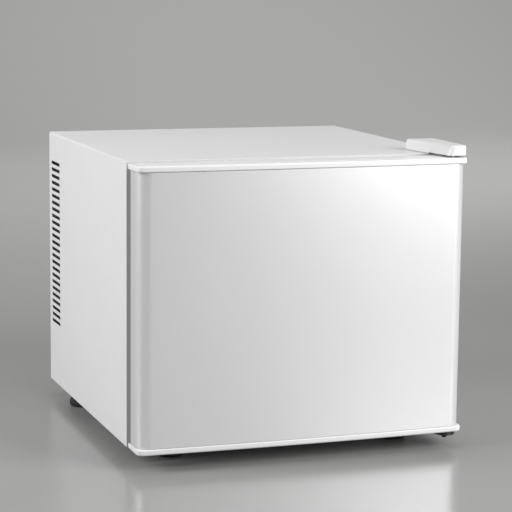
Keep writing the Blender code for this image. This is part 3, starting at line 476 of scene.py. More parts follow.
def finish(
    name,
    colour,
    roughness,
    metallic=0.0,
    mottle=(0.25, 7.0),
    gloss=(0.12, 40.0),
    grain=(900.0, 0.3),
    lines=None,
    bump=(0.08, 0.1),
    rubbed=(0.3, (0.95, 0.95, 0.95, 1)),
    dust=0.1,
    coat=0.0,
    specular=0.5,
):
    """A material with shade, gloss and relief of its own. bump is its strength and depth in mm."""
    made = bpy.data.materials.new(name)
    made.use_nodes = True
    tree = made.node_tree
    shader = tree.nodes["Principled BSDF"]
    shader.inputs["Metallic"].default_value = metallic
    shader.inputs["Specular IOR Level"].default_value = specular
    shader.inputs["Coat Weight"].default_value = coat
    shader.inputs["Coat Roughness"].default_value = 0.12
    amount, scale = mottle
    shade = place_group(tree, MOTTLING, Color=(*colour, 1), Amount=amount, Scale=scale)
    amount, edge_colour = rubbed
    worn = place_group(tree, RUBBED_EDGES, Amount=amount)
    shade = mix_colours(tree, worn, shade, edge_colour)
    settled = place_group(tree, RESTING_DUST, Amount=dust)
    shade = mix_colours(tree, settled, shade, DUST_COLOUR)
    tree.links.new(shade, shader.inputs["Base Color"])
    spread_of_gloss, scale = gloss
    smooth = place_group(
        tree, UNEVEN_GLOSS, Roughness=roughness, Spread=spread_of_gloss, Scale=scale
    )
    rough = calculate(tree, "ADD", smooth, calculate(tree, "MULTIPLY", settled, 0.4), clamp=True)
    tree.links.new(rough, shader.inputs["Roughness"])
    if lines:
        height = place_group(tree, DRAWN_LINES, Stretch=lines)
    else:
        height = place_group(tree, FINE_GRAIN, Scale=grain[0], Waviness=grain[1])
    relief = node(tree, "Bump", links={"Height": height}, Strength=bump[0], Distance=bump[1] * MM)
    tree.links.new(relief.outputs["Normal"], shader.inputs["Normal"])
    return made


DUST_COLOUR = (0.45, 0.43, 0.4, 1)
WHITE_RUB = (0.25, (0.93, 0.93, 0.93, 1))
DARK_RUB = (0.5, (0.16, 0.16, 0.16, 1))
BRIGHT_RUB = (0.5, (0.8, 0.8, 0.8, 1))

CABINET_PAINT = finish(
    "satin white cabinet paint", (0.72, 0.72, 0.725), 0.45, grain=(1100.0, 0.5), bump=(0.12, 0.08),
    rubbed=WHITE_RUB, dust=0.06,
)
DOOR_PAINT = finish(
    "satin pearl white door enamel", (0.74, 0.74, 0.745), 0.32, metallic=0.35, gloss=(0.03, 12.0),
    mottle=(0.12, 7.0), grain=(1300.0, 0.4), bump=(0.1, 0.05), rubbed=WHITE_RUB, dust=0.03,
    coat=0.1,
)
CAP_PLASTIC = finish(
    "white end cap moulding", (0.78, 0.78, 0.78), 0.36, grain=(1600.0, 0.2), bump=(0.08, 0.05),
    rubbed=WHITE_RUB, dust=0.06,
)
COVER_PLASTIC = finish(
    "white hinge cover moulding", (0.74, 0.74, 0.74), 0.33, grain=(1500.0, 0.2), bump=(0.08, 0.05),
    rubbed=WHITE_RUB, dust=0.06,
)
LINER_PLASTIC = finish(
    "formed white liner sheet", (0.8, 0.81, 0.82), 0.32, grain=(1400.0, 0.3), bump=(0.08, 0.05),
    rubbed=WHITE_RUB, dust=0.02,
)
RACK_PLASTIC = finish(
    "glossy white rack moulding", (0.82, 0.83, 0.84), 0.22, grain=(500.0, 0.6), bump=(0.05, 0.08),
    rubbed=WHITE_RUB, dust=0.02, coat=0.2,
)
AIR_PLASTIC = finish(
    "textured white air cover moulding", (0.76, 0.76, 0.76), 0.5, grain=(2200.0, 0.2),
    bump=(0.3, 0.06), rubbed=WHITE_RUB, dust=0.03,
)
SEAL_RUBBER = finish(
    "pale grey seal vinyl", (0.5, 0.5, 0.5), 0.55, grain=(900.0, 0.5), bump=(0.15, 0.1),
    rubbed=(0.2, (0.65, 0.65, 0.65, 1)), dust=0.1,
)
FOOT_RUBBER = finish(
    "black foot rubber", (0.018, 0.018, 0.018), 0.7, grain=(1400.0, 0.8), bump=(0.35, 0.12),
    rubbed=DARK_RUB, dust=0.25, specular=0.35,
)
BLACK_PAINT = finish(
    "black hinge paint", (0.02, 0.02, 0.021), 0.38, grain=(1800.0, 0.3), bump=(0.25, 0.08),
    rubbed=DARK_RUB, dust=0.12,
)
BLACK_PLASTIC = finish(
    "black textured moulding", (0.025, 0.025, 0.026), 0.5, grain=(2400.0, 0.2), bump=(0.35, 0.06),
    rubbed=DARK_RUB, dust=0.15,
)
GREY_PLASTIC = finish(
    "grey knob moulding", (0.42, 0.43, 0.44), 0.4, grain=(2000.0, 0.2), bump=(0.2, 0.05),
    rubbed=(0.4, (0.6, 0.6, 0.6, 1)), dust=0.05,
)
SCREW_STEEL = finish(
    "bright screw plating", (0.62, 0.62, 0.63), 0.28, 1.0, gloss=(0.3, 400.0), grain=(2500.0, 0.5),
    bump=(0.2, 0.05), rubbed=BRIGHT_RUB, dust=0.15,
)
ZINC_STEEL = finish(
    "rolled zinc-coated steel", (0.55, 0.56, 0.57), 0.42, 1.0, mottle=(0.9, 60.0), gloss=(0.4, 90.0),
    lines=(500.0, 500.0, 9.0), bump=(0.15, 0.06), rubbed=BRIGHT_RUB, dust=0.15,
)
SINK_ALUMINIUM = finish(
    "extruded aluminium", (0.72, 0.73, 0.74), 0.38, 1.0, mottle=(0.4, 40.0), gloss=(0.25, 120.0),
    lines=(900.0, 900.0, 12.0), bump=(0.25, 0.05), rubbed=BRIGHT_RUB, dust=0.25,
)
MODULE_CERAMIC = finish(
    "white module ceramic", (0.83, 0.82, 0.79), 0.55, grain=(2600.0, 0.4), bump=(0.3, 0.04),
    rubbed=WHITE_RUB, dust=0.0,
)
CABINET_FOAM = finish(
    "poured insulating foam", (0.8, 0.7, 0.42), 0.9, mottle=(0.8, 30.0), grain=(420.0, 1.5),
    bump=(0.8, 0.8), rubbed=(0.3, (0.9, 0.8, 0.5, 1)), dust=0.0, specular=0.2,
)
BOARD_GREEN = finish(
    "green board lacquer", (0.02, 0.14, 0.05), 0.35, mottle=(0.9, 120.0), grain=(700.0, 1.0),
    bump=(0.3, 0.15), rubbed=(0.5, (0.5, 0.45, 0.2, 1)), dust=0.1,
)
WIRE_COATING = finish(
    "white coated shelf wire", (0.8, 0.8, 0.8), 0.25, grain=(600.0, 0.6), bump=(0.15, 0.1),
    rubbed=WHITE_RUB, dust=0.04, coat=0.3,
)
LAMP_LENS = finish(
    "frosted lamp lens", (0.86, 0.85, 0.8), 0.3, grain=(1500.0, 0.4), bump=(0.3, 0.08),
    rubbed=WHITE_RUB, dust=0.0, coat=0.4,
)
INLET_BRASS = finish(
    "plated inlet pin", (0.7, 0.68, 0.62), 0.25, 1.0, gloss=(0.25, 300.0),
    lines=(1500.0, 60.0, 1500.0), bump=(0.15, 0.03), rubbed=BRIGHT_RUB, dust=0.0,
)


# ---------------------------------------------------------------- cabinet


def wrap_outline(inset, radius):
    """Front view of the folded sheet, running below the open underside."""
    x = HALF - inset
    low = BASE - (5 * MM if inset else 0)
    high = TOP - inset
    right = arc(x - radius, high - radius, radius, 0, 90, 10)
    left = arc(-x + radius, high - radius, radius, 90, 180, 10)
    return [(-x, low), (x, low)] + right + left


def make_cabinet():
    """The top and sides in one folded sheet, with side air slots and a folded front and rear edge."""
    flange = (BACK - FRONT) - SHEET - GAP
    inner = wrap_outline(SHEET, SHELL_BEND - SHEET)
    rear = (back(flange - 2 * SHEET), back(flange + SHEET), "Y")
    side = (-HALF - SHEET, HALF + SHEET, "X")
    near, far, rise = back(VENT_FRONT), back(VENT_FRONT + VENT_LENGTH), VENT_HEIGHT / 2
    heights = [TOP - VENT_TOP - i * VENT_PITCH for i in range(VENTS)]
    slots = [(rounded(near, far, z - rise, z + rise, VENT_CORNER, 4), *side) for z in heights]
    changes = [
        (CUT, prisms((inner, back(SHEET), back(flange - SHEET), "Y"))),
        (CUT, prisms((wrap_outline(FRONT_RETURN, 2 * MM), back(-SHEET), back(2 * SHEET), "Y"))),
        (CUT, prisms((wrap_outline(REAR_RETURN, 2 * MM), *rear))),
        (CUT, prisms((inner, back(flange), BACK + SHEET, "Y"))),
        (CUT, prisms(*slots)),
    ]
    body = prisms((wrap_outline(0, SHELL_BEND), FRONT, BACK, "Y"))
    piece(
        "cabinet_wrap", body, CABINET_PAINT, "cabinet", ["cabinet_shell"],
        changes, edge=0.3 * MM,
    )


def make_floor_sheet():
    """The cabinet's underside, with its front edge folded up and air intakes at the rear."""
    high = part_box("bottom_panel")[1]
    side, tab = high.x, HALF - FRONT_RETURN - GAP
    start = back(SHEET + GAP)
    outline = [(-side, start), (-tab, start), (-tab, FRONT), (tab, FRONT)]
    outline += [(tab, start), (side, start), (side, high.y), (-side, high.y)]
    fold = (rectangle(-tab, tab, FRONT, back(SHEET)), BASE, BASE + FRONT_RETURN, "Z")
    through = (BASE - SHEET, BASE + 2 * SHEET, "Z")
    near, far = back(INTAKE_FRONT), back(INTAKE_BACK)
    openings = []
    for x in spread(INTAKES, INTAKE_ROW):
        opening = rounded(x - INTAKE_HALF, x + INTAKE_HALF, near, far, 1 * MM, 4)
        openings.append((opening, *through))
    pressed = rounded(-150 * MM, 150 * MM, back(60 * MM), back(270 * MM), 20 * MM)
    changes = [
        (JOIN, prisms(fold)),
        (CUT, prisms(*openings)),
        (CUT, prisms((pressed, BASE - SHEET, BASE + 0.35 * MM, "Z"))),
    ]
    body = prisms((outline, BASE, BASE + SHEET, "Z"))
    piece(
        "floor_sheet", body, CABINET_PAINT, "cabinet", ["bottom_panel"],
        changes, edge=0.2 * MM,
    )


def make_rear_cover():
    """The back sheet: a round opening for the fan, a window for the inlet and pressed ribs."""
    low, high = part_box("back_panel")
    near, far = low.y, high.y
    reach = (near - SHEET, far + 2 * SHEET, "Y")
    x, z0, z1 = high.x, low.z, high.z
    inlet_low, inlet_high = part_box("mains_inlet")
    window = rounded(
        inlet_low.x + 2.7 * MM, inlet_high.x - 2.7 * MM, inlet_low.z + 2.7 * MM,
        inlet_high.z - 2.7 * MM, 2 * MM,
    )
    holes = [(circle(a, b, 1.8 * MM, 16), *reach) for a, b in rear_screw_places()]
    ribs = bmesh.new()
    for z in (BASE + RIB_DROP, TOP - RIB_DROP):
        for s in (-1, 1):
            plan = box_plan(*sorted((s * RIB_NEAR, s * RIB_FAR)), z - 5 * MM, z + 5 * MM, 5 * MM)
            rings = [(plan(0), near + 0.2 * MM), (plan(0), far), (plan(1 * MM), far + 0.8 * MM)]
            add_stack(ribs, rings, "Y")
    fan_opening = (circle(0, CENTRE_Z, REAR_FAN * FAN_RING, 64), *reach)
    changes = [(JOIN, ribs), (CUT, prisms(fan_opening, (window, *reach), *holes))]
    body = prisms((rounded(-x, x, z0, z1, SHELL_BEND), near, far, "Y"))
    piece(
        "rear_cover_sheet", body, CABINET_PAINT, "cabinet", ["back_panel"],
        changes, edge=0.2 * MM,
    )


def make_cavity_liner():
    """The formed cavity with soft corners, a rim behind the front face and ribs for the shelf."""
    low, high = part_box("inner_liner")
    start, flange = low.y, low.y + LINER
    rim = rounded(low.x, high.x, low.z, high.z, SHELL_BEND)
    hx = CAVITY_HALF + LINER
    tub = box_plan(-hx, hx, CAVITY_LOW - LINER, CAVITY_TOP + LINER, CAVITY_CORNER + LINER)
    hollow = box_plan(-CAVITY_HALF, CAVITY_HALF, CAVITY_LOW, CAVITY_TOP, CAVITY_CORNER)
    mouth = [(hollow(-2 * MM), start - 1 * MM), (hollow(-2 * MM), start + 0.01 * MM)]
    mouth += [(hollow(-0.6 * MM), start + 0.6 * MM), (hollow(0), start + 2 * MM)]
    end = back(CAVITY_DEPTH)
    for i in range(7):
        a = pi / 2 * i / 6
        mouth.append((hollow(7 * MM * (1 - cos(a))), end - 7 * MM * (1 - sin(a))))
    shelf_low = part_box("wire_shelf")[0]
    top = shelf_low.z - GAP
    ledges = bmesh.new()
    for s in (-1, 1):
        edges = sorted((s * (CAVITY_HALF + 1 * MM), s * (CAVITY_HALF - SHELF_LEDGE)))
        plan = box_plan(*edges, back(38 * MM), back(CAVITY_DEPTH - 1 * MM), 2 * MM, 4)
        add_stack(ledges, soft_rings(plan, top - 5 * MM, top, 1 * MM, 1 * MM, 3))
    floor_ribs = bmesh.new()
    for x in spread(9, 240 * MM):
        plan = box_plan(x - 2 * MM, x + 2 * MM, back(30 * MM), back(215 * MM), 1.9 * MM, 4)
        rings = [(plan(0), CAVITY_LOW - 1 * MM), (plan(0), CAVITY_LOW + 0.2 * MM)]
        add_stack(floor_ribs, rings + [(plan(1.2 * MM), CAVITY_LOW + 0.9 * MM)])
    reach = 22 * MM
    block_window = rectangle(-reach, reach, CENTRE_Z - reach, CENTRE_Z + reach)
    changes = [
        (JOIN, stack(soft_rings(tub, start + 1 * MM, back(CAVITY_DEPTH) + LINER, 0, 6 * MM), "Y")),
        (CUT, stack(mouth, "Y")),
        (JOIN, ledges),
        (JOIN, floor_ribs),
        (CUT, prisms((block_window, end - 3 * MM, end + 4 * MM, "Y"))),
    ]
    piece(
        "cavity_liner", prisms((rim, start, flange, "Y")), LINER_PLASTIC, "cabinet", ["inner_liner"],
        changes, angle=35,
    )


def make_feet():
    """Four round rubber feet with a waist and a grooved rim."""
    for name in ("foot_front_left", "foot_front_right", "foot_rear_left", "foot_rear_right"):
        low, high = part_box(name)
        centre = ((low.x + high.x) / 2, (low.y + high.y) / 2, 0)
        r, h = (high.x - low.x) / 2, high.z
        profile = [(0, 0.6 * MM), (r - 6 * MM, 0.6 * MM), (r - 6.5 * MM, 0), (r - 2.5 * MM, 0)]
        profile += [(r - 1 * MM, 0.5 * MM), (r - 0.3 * MM, 2 * MM), (r, 4 * MM), (r, 6 * MM)]
        profile += [(r - 0.8 * MM, 6.8 * MM), (r - 0.8 * MM, 7.6 * MM), (r - 0.5 * MM, 8.4 * MM)]
        profile += [(r - 1.5 * MM, 9.4 * MM), (r - 3 * MM, 12 * MM), (r - 3.5 * MM, h), (0, h)]
        bm = add_turned(bmesh.new(), profile, centre)
        piece(name.replace("foot", "rubber_foot"), bm, FOOT_RUBBER, "cabinet", [name])


# ---------------------------------------------------------------- screws


def rear_screw_places():
    x = HALF - SHEET - REAR_RETURN / 2
    height = TOP - BASE
    return [(s * x, z) for s in (-1, 1) for z in spread(3, height - 60 * MM, BASE + height / 2)]


def make_screw(name, node_name, axis, look):
    """A pan-head screw with a cross recess, where its solid is."""
    low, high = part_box(node_name)
    middle = (low + high) / 2
    head, shank, tall = 3.55 * MM, 1.6 * MM, 2 * MM
    if axis == "Y":
        seat = Vector((middle.x, high.y - tall, middle.z))
    else:
        seat = Vector((middle.x, middle.y, low.z + tall if axis == "-Z" else high.z - tall))
    profile = [(0, -6.9 * MM), (shank, -5.4 * MM), (shank, 0), (head, 0), (head, 0.8 * MM)]
    profile += [(head * 0.93, 1.3 * MM), (head * 0.75, 1.7 * MM), (head * 0.45, 1.95 * MM), (0, tall)]
    arm, half = 1.9 * MM, 0.45 * MM
    if axis == "-Z":
        profile = [(r, -h) for r, h in profile]
    sign = -1 if axis == "-Z" else 1
    turn = "Y" if axis == "Y" else "Z"
    bm = add_turned(bmesh.new(), profile, seat, 32, turn)
    a, b = (seat.x, seat.z) if turn == "Y" else (seat.x, seat.y)
    level = seat.y if turn == "Y" else seat.z
    ends = sorted((level + sign * 0.9 * MM, level + sign * 3 * MM))
    quarter = [(half, -half), (arm, -half), (arm, half)]
    cross = list(quarter)
    for _ in range(3):
        quarter = [(-y, x) for x, y in quarter]
        cross += quarter
    recess = prisms(([(a + x, b + y) for x, y in cross], *ends, turn))
    piece(name, bm, look, "cabinet", [node_name], [(CUT, recess)], angle=30)


def make_screws():
    for i in range(1, 7):
        make_screw(f"rear_screw_{i}", f"back_screw_{i}", "Y", SCREW_STEEL)
    for i in (1, 2):
        make_screw(f"upper_hinge_screw_{i}", f"top_hinge_screw_{i}", "Z", SCREW_STEEL)
        lower = f"bottom_hinge_screw_{i}"
        make_screw(f"lower_hinge_screw_{i}", lower, "-Z", BLACK_PAINT)


# ---------------------------------------------------------------- hinges


def make_lower_bracket():
    """The black plate under the door, with a round tongue about the door's axis."""
    low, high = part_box("bottom_hinge_plate")
    tongue = 11.5 * MM

    def plan(inset):
        left, right = AXIS_X - 21 * MM + inset, AXIS_X + tongue - inset
        rear = high.y - inset
        nose = arc(AXIS_X, AXIS_Y, tongue - inset, 0, -180, 24)
        return [(right, rear), (right, FRONT)] + nose + [(left, FRONT), (left, rear)]

    drop, wall = 2.2 * MM, 1.8 * MM
    below = (low.z - 2 * drop, low.z, "Z")
    behind = rectangle(AXIS_X - 40 * MM, AXIS_X + 40 * MM, back(-4 * MM), high.y + SHEET)
    hole = (circle(AXIS_X, AXIS_Y, PIN_RADIUS + 0.2 * MM), low.z - SHEET, high.z + SHEET, "Z")
    body = stack(soft_rings(plan, low.z - drop, high.z, 0.6 * MM, 0.6 * MM, 3))
    piece(
        "lower_hinge_bracket", body, BLACK_PAINT, "cabinet", ["bottom_hinge_plate"],
        [(CUT, prisms((plan(wall), *below))), (CUT, prisms((behind, *below))), (CUT, prisms(hole))],
    )
    low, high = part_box("bottom_hinge_pin")
    r, rim, h, tall = PIN_RADIUS, PIN_RADIUS + 2 * MM, 6 * MM, high.z - low.z
    profile = [(0, 0), (r - 0.5 * MM, 0), (r, 0.5 * MM), (r, h - 3 * MM)]
    profile += [(rim - 0.6 * MM, h - 2.4 * MM), (rim, h - 1.8 * MM), (rim, h), (r, h)]
    profile += [(r, tall - 1 * MM), (0, tall)]
    pin = add_turned(bmesh.new(), profile, (AXIS_X, AXIS_Y, low.z))
    piece("lower_hinge_pin", pin, BLACK_PAINT, "cabinet", ["bottom_hinge_pin"])


def cover_plan(inset, lean=0.0):
    """Plan of the hinge cover: wide on the cabinet, narrow over the door."""
    right = HALF - 1 * MM - inset
    rear, front = back(49 * MM - inset), back(-42 * MM + inset)
    left = [HALF - d + inset + lean for d in (37 * MM, 30 * MM, 25 * MM)]
    r = 6 * MM - min(inset, 3 * MM)
    points = [(right, rear), (left[0] - lean * 0.7, rear), (left[1], FRONT)]
    points += arc(left[2] + r, front + r, r, 180, 270, 12)
    return points + arc(right - r, front + r, r, 270, 360, 12)


def make_hinge_cover():
    """The hollow moulding over the upper hinge. Its left side leans in and it stands off the door."""
    low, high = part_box("hinge_cover")
    height, turn, lean, wall = high.z - low.z, 2 * MM, 5 * MM, 1.6 * MM
    rings = [(cover_plan(0), low.z), (cover_plan(0, lean * (1 - turn / height)), high.z - turn)]
    for i in range(1, 7):
        a = pi / 2 * i / 6
        rise = turn * (1 - sin(a))
        rings.append((cover_plan(turn * (1 - cos(a)), lean * (1 - rise / height)), high.z - rise))
    over_door = rectangle(HALF - 60 * MM, HALF + 20 * MM, back(-60 * MM), back(-GAP))
    hollow = [(cover_plan(wall), TOP - SHEET), (cover_plan(wall), low.z)]
    hollow += [(cover_plan(wall, lean), high.z - wall)]
    changes = [
        (CUT, stack(hollow)),
        (CUT, prisms((over_door, TOP - SHEET, TOP + 1.5 * MM, "Z"))),
    ]
    piece(
        "upper_hinge_cover", stack(rings), COVER_PLASTIC, "cabinet", ["hinge_cover"],
        changes, angle=35,
    )


# ---------------------------------------------------------------- door


def make_door_skin():
    """The steel skin: bowed front, round edges and side returns, with a lip folded in at the back."""
    half, front = HALF - PANEL_INSET, DOOR_FRONT - 1 * MM
    through = (PANEL_LOW - SHEET, PANEL_TOP + SHEET, "Z")
    inner = bowed(half - SHEET, front - SHEET, PANEL_CORNER - SHEET, PANEL_BACK + SHEET)
    lip = half - 7 * MM
    opening = rectangle(-lip, lip, back(-PANEL_BACK - 2 * SHEET), back(-PANEL_BACK + SHEET))
    changes = [(CUT, prisms((inner, *through))), (CUT, prisms((opening, *through)))]
    body = prisms((bowed(half, front, PANEL_CORNER, PANEL_BACK), PANEL_LOW, PANEL_TOP, "Z"))
    piece(
        "door_skin", body, DOOR_PAINT, "door", ["door_panel"], changes,
        edge=0.3 * MM, angle=50,
    )


def cap_plan(inset, rear=None):
    corner = max(CAP_CORNER - inset, 1.5 * MM)
    rear = CAP_BACK + (inset if rear is None else rear)
    return bowed(HALF - inset, DOOR_FRONT - inset, corner, rear)


def make_door_cap(name, node_name, outer, sign):
    """A moulded end: a bull-nosed flange with a fine step round its outer face."""
    nose, foot, groove = 2.4 * MM, 1.4 * MM, 0.8 * MM
    thick = CAP_HEIGHT - GAP
    rings = soft_rings(cap_plan, 0, thick, foot, nose, 7)
    for inset, drop in ((9.6, 0), (9.9, groove), (11.1, groove), (11.4, 0)):
        rings.append((cap_plan(inset * MM, nose + (inset - 9) * 0.3 * MM), thick - drop))
    rings = [(line, outer - sign * (thick - h)) for line, h in rings]
    hole = (circle(AXIS_X, AXIS_Y, PIN_RADIUS + 2 * MM), outer - 20 * MM, outer + 20 * MM, "Z")
    piece(
        name, stack(rings), CAP_PLASTIC, "door", [node_name],
        [(CUT, prisms(hole))], angle=35,
    )


def make_inner_door():
    """The formed inner door, with a raised ring that the racks hang in."""
    low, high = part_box("door_liner")
    sheet_back = low.y + LINER
    ring_back = back(-PANEL_BACK + DYKE_DEPTH)
    corners = (-HALF + DYKE_INSET, HALF - DYKE_INSET, BASE + DYKE_INSET, TOP - DYKE_INSET)
    ring = box_plan(*corners, CAVITY_CORNER)
    x0, x1, z0, z1 = corners
    w = DYKE_WALL
    well = box_plan(x0 + w, x1 - w, z0 + w, z1 - w, 6 * MM)
    skirt = [(ring(-3 * MM), sheet_back - 0.5 * MM), (ring(-1 * MM), sheet_back + 0.5 * MM)]
    skirt += [(ring(0), sheet_back + 2 * MM)]
    raised = skirt + soft_rings(ring, sheet_back + 2.5 * MM, ring_back, 0, 4 * MM, 6)
    hollow = [(well(-4 * MM), ring_back + 1 * MM), (well(-4 * MM), ring_back + 0.01 * MM)]
    for i in range(1, 6):
        a = pi / 2 * i / 5
        hollow.append((well(-4 * MM * (1 - sin(a))), ring_back - 4 * MM * (1 - cos(a))))
    hollow += [(well(0), sheet_back + 3 * MM), (well(0.9 * MM), sheet_back + 0.9 * MM)]
    hollow += [(well(3 * MM), sheet_back)]
    body = prisms((rounded(low.x, high.x, low.z, high.z, 2 * MM), low.y, sheet_back, "Y"))
    changes = [(JOIN, stack(raised, "Y")), (CUT, stack(hollow, "Y"))]
    piece(
        "inner_door", body, LINER_PLASTIC, "door", ["door_liner"], changes, angle=35,
    )


def make_door_seal():
    """The seal, in one endless band: a foot, folded bellows and a flat, grooved face."""
    near, far = back(-PANEL_BACK + GAP), back(-GAP)
    middle = (near + far) / 2

    def edge(inset):
        x, low, high = HALF - SEAL_INSET - inset, BASE + SEAL_INSET + inset, TOP - SEAL_INSET - inset
        return rounded(-x, x, low, high, max(8 * MM - inset, 1.2 * MM), 6)

    outer = [(1, near), (0, near + 1 * MM), (0, near + 2.6 * MM), (2.2, near + 3.4 * MM)]
    outer += [(3.6, middle - 1.6 * MM), (1.4, middle), (3.4, middle + 1.6 * MM), (0.8, far - 4.2 * MM)]
    outer += [(0, far - 3.2 * MM), (0, far - 0.9 * MM), (0.9, far)]
    width = SEAL_WIDTH / MM
    face = [(3.0, far), (3.4, far - 0.35 * MM), (4.2, far - 0.35 * MM), (4.6, far)]
    inner = [(width - inset, y) for inset, y in reversed(outer)]
    rings = [(edge(inset * MM), y) for inset, y in outer + face + inner]
    piece(
        "door_seal", stack(rings, "Y", endless=True), SEAL_RUBBER, "door", ["door_gasket"],
        angle=50,
    )


def make_rack(name, node_name):
    """A trough for the inner door with a soft floor, ribs on its floor, a window in front and a
    softened rim.
    """
    low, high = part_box(node_name)
    r, w = 10 * MM, 2 * MM
    outer = box_plan(low.x, high.x, low.y, high.y, r)
    inner = box_plan(low.x + w, high.x - w, low.y + w, high.y - w, r - w)
    hollow = soft_rings(inner, low.z + w, high.z + 2 * MM, 4 * MM, 0, 6)
    side = high.x - 16 * MM
    window = rounded(-side, side, low.z + 14 * MM, high.z - 10 * MM, 6 * MM)
    ribs = bmesh.new()
    for x in spread(17, 2 * side):
        plan = box_plan(x - 1 * MM, x + 1 * MM, low.y + 7 * MM, high.y - 7 * MM, 0.9 * MM, 4)
        rings = [(plan(0), low.z + 1 * MM), (plan(0), low.z + w + 0.3 * MM)]
        add_stack(ribs, rings + [(plan(0.5 * MM), low.z + w + 0.8 * MM)])
    changes = [
        (CUT, stack(hollow)),
        (CUT, prisms((window, high.y - 2 * w, high.y + w, "Y"))),
        (JOIN, ribs),
    ]
    piece(
        name, stack(soft_rings(outer, low.z, high.z, 3 * MM, 0, 6)), RACK_PLASTIC, "door",
        [node_name], changes, edge=0.35 * MM, angle=50,
    )


# ---------------------------------------------------------------- inside


def add_rod(bm, path, radius, sides=12, closed=False):
    """A round rod along a flat path."""
    loops = []
    count = len(path)
    for i, point in enumerate(path):
        here = Vector(point)
        ahead = Vector(path[(i + 1) % count] if closed or i + 1 < count else point) - here
        behind = here - Vector(path[i - 1] if closed or i else point)
        along = (ahead.normalized() + behind.normalized()).normalized()
        out = along.cross(Vector((0, 0, 1))).normalized()
        up = out.cross(along)
        turns = [2 * pi * k / sides for k in range(sides)]
        loops.append([bm.verts.new(here + radius * (cos(a) * out + sin(a) * up)) for a in turns])
    pairs = list(zip(loops, loops[1:]))
    if closed:
        pairs.append((loops[-1], loops[0]))
    else:
        bm.faces.new(loops[0])
        bm.faces.new(loops[-1])
    for a, b in pairs:
        for k in range(sides):
            m = (k + 1) % sides
            bm.faces.new((a[k], a[m], b[m], b[k]))


def make_shelf():
    """A welded wire shelf: a heavy frame, thinner wires along it and one stay across."""
    low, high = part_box("wire_shelf")
    rod = 2.1 * MM
    z = low.z + rod
    half = high.x - rod - 0.1 * MM
    near, far = low.y + rod, high.y - rod
    bm = bmesh.new()
    loop = [(x, y, z) for x, y in rounded(-half, half, near, far, 9 * MM, 8)]
    add_rod(bm, loop, rod, 14, closed=True)
    middle = (near + far) / 2
    add_rod(bm, [(-half, middle, z - 0.4 * MM), (half, middle, z - 0.4 * MM)], 1.5 * MM)
    for x in spread(17, 2 * half - 34 * MM):
        add_rod(bm, [(x, near, z + 0.5 * MM), (x, far, z + 0.5 * MM)], 1.2 * MM, 10)
    piece("wire_grid_shelf", bm, WIRE_COATING, "cabinet", ["wire_shelf"])


def make_controls():
    """The thermostat and lamp housing under the ceiling, with tick marks round the knob."""
    low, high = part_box("control_housing")
    plan = box_plan(low.x, high.x, low.y, high.y, 6 * MM)
    knob_low, knob_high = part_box("thermostat_knob")
    kx, kz = (knob_low.x + knob_high.x) / 2, (knob_low.z + knob_high.z) / 2
    lens_low, lens_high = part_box("light_lens")
    g = 0.3 * MM
    window = rounded(lens_low.x - g, lens_high.x + g, lens_low.z - g, lens_high.z + g, 3 * MM)
    changes = [
        (CUT, prisms((window, low.y - SHEET, low.y + 8 * MM, "Y"))),
        (CUT, prisms((circle(kx, kz, 2.6 * MM), low.y - SHEET, low.y + 12 * MM, "Y"))),
    ]
    piece(
        "control_box", stack(soft_rings(plan, low.z, high.z, 2.5 * MM, 0, 6)), CAP_PLASTIC, "cabinet",
        ["control_housing"], changes, angle=35,
    )
    ticks = bmesh.new()
    for i in range(7):
        a = radians(210 - 40 * i)
        x, z = kx + 9.9 * MM * cos(a), kz + 9.9 * MM * sin(a)
        size = (0.35 + 0.08 * i) * MM
        line = [(x + size * cos(a + t), z + size * sin(a + t)) for t in spread(12, 2 * pi * 11 / 12)]
        add_stack(ticks, [(line, low.y - 0.15 * MM), (line, low.y + 0.3 * MM)], "Y")
    piece("dial_marks", ticks, GREY_PLASTIC, "cabinet", [])


def make_knob():
    """The thermostat knob: a grip with flutes and a raised pointer."""
    low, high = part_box("thermostat_knob")
    x, z = (low.x + high.x) / 2, (low.z + high.z) / 2
    r = (high.x - low.x) / 2

    def grip(inset, depth=0.35):
        turns = [2 * pi * i / 96 for i in range(96)]
        radii = [r - inset - depth * MM * (0.5 + 0.5 * cos(16 * a)) for a in turns]
        return [(x + q * cos(a), z + q * sin(a)) for q, a in zip(radii, turns)]

    front = low.y + 1.6 * MM
    seat = back(CONTROL_DEPTH) - GAP
    rings = [(grip(2.2 * MM, 0.0), front), (grip(0.9 * MM, 0.15), front + 0.35 * MM)]
    rings += [(grip(0.35 * MM, 0.3), front + 1.1 * MM), (grip(0), seat - 1.2 * MM)]
    rings += [(grip(0, 0.0), seat)]
    spindle = prisms((circle(x, z, 2 * MM), seat - 1 * MM, high.y, "Y"))
    ridge = box_plan(x - 1.2 * MM, x + 1.2 * MM, z - 6 * MM, z + 7.2 * MM, 1.1 * MM)
    pointer = stack(soft_rings(ridge, low.y, front + 1 * MM, 0.5 * MM, 0, 3), "Y")
    piece(
        "thermostat_dial", stack(rings, "Y"), GREY_PLASTIC, "thermostat", ["thermostat_knob"],
        [(JOIN, spindle), (JOIN, pointer)], angle=30,
    )


def make_lens():
    """The lamp's lens, with upright ribs that spread the light."""
    low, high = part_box("light_lens")
    count = 22
    step = (high.x - low.x - 4 * MM) / count
    face = []
    for i in range(count):
        x = low.x + 2 * MM + i * step
        face += [(x, low.y + 0.5 * MM), (x + step * 0.25, low.y + 0.08 * MM)]
        face += [(x + step * 0.5, low.y), (x + step * 0.75, low.y + 0.08 * MM)]
    outline = [(low.x, low.y + 1 * MM)] + face + [(high.x, low.y + 1 * MM)]
    outline += [(high.x, high.y), (low.x, high.y)]
    body = prisms((outline, low.z, high.z, "Z"))
    piece(
        "ribbed_lamp_lens", body, LAMP_LENS, "cabinet", ["light_lens"], edge=0.25 * MM,
        angle=60,
    )


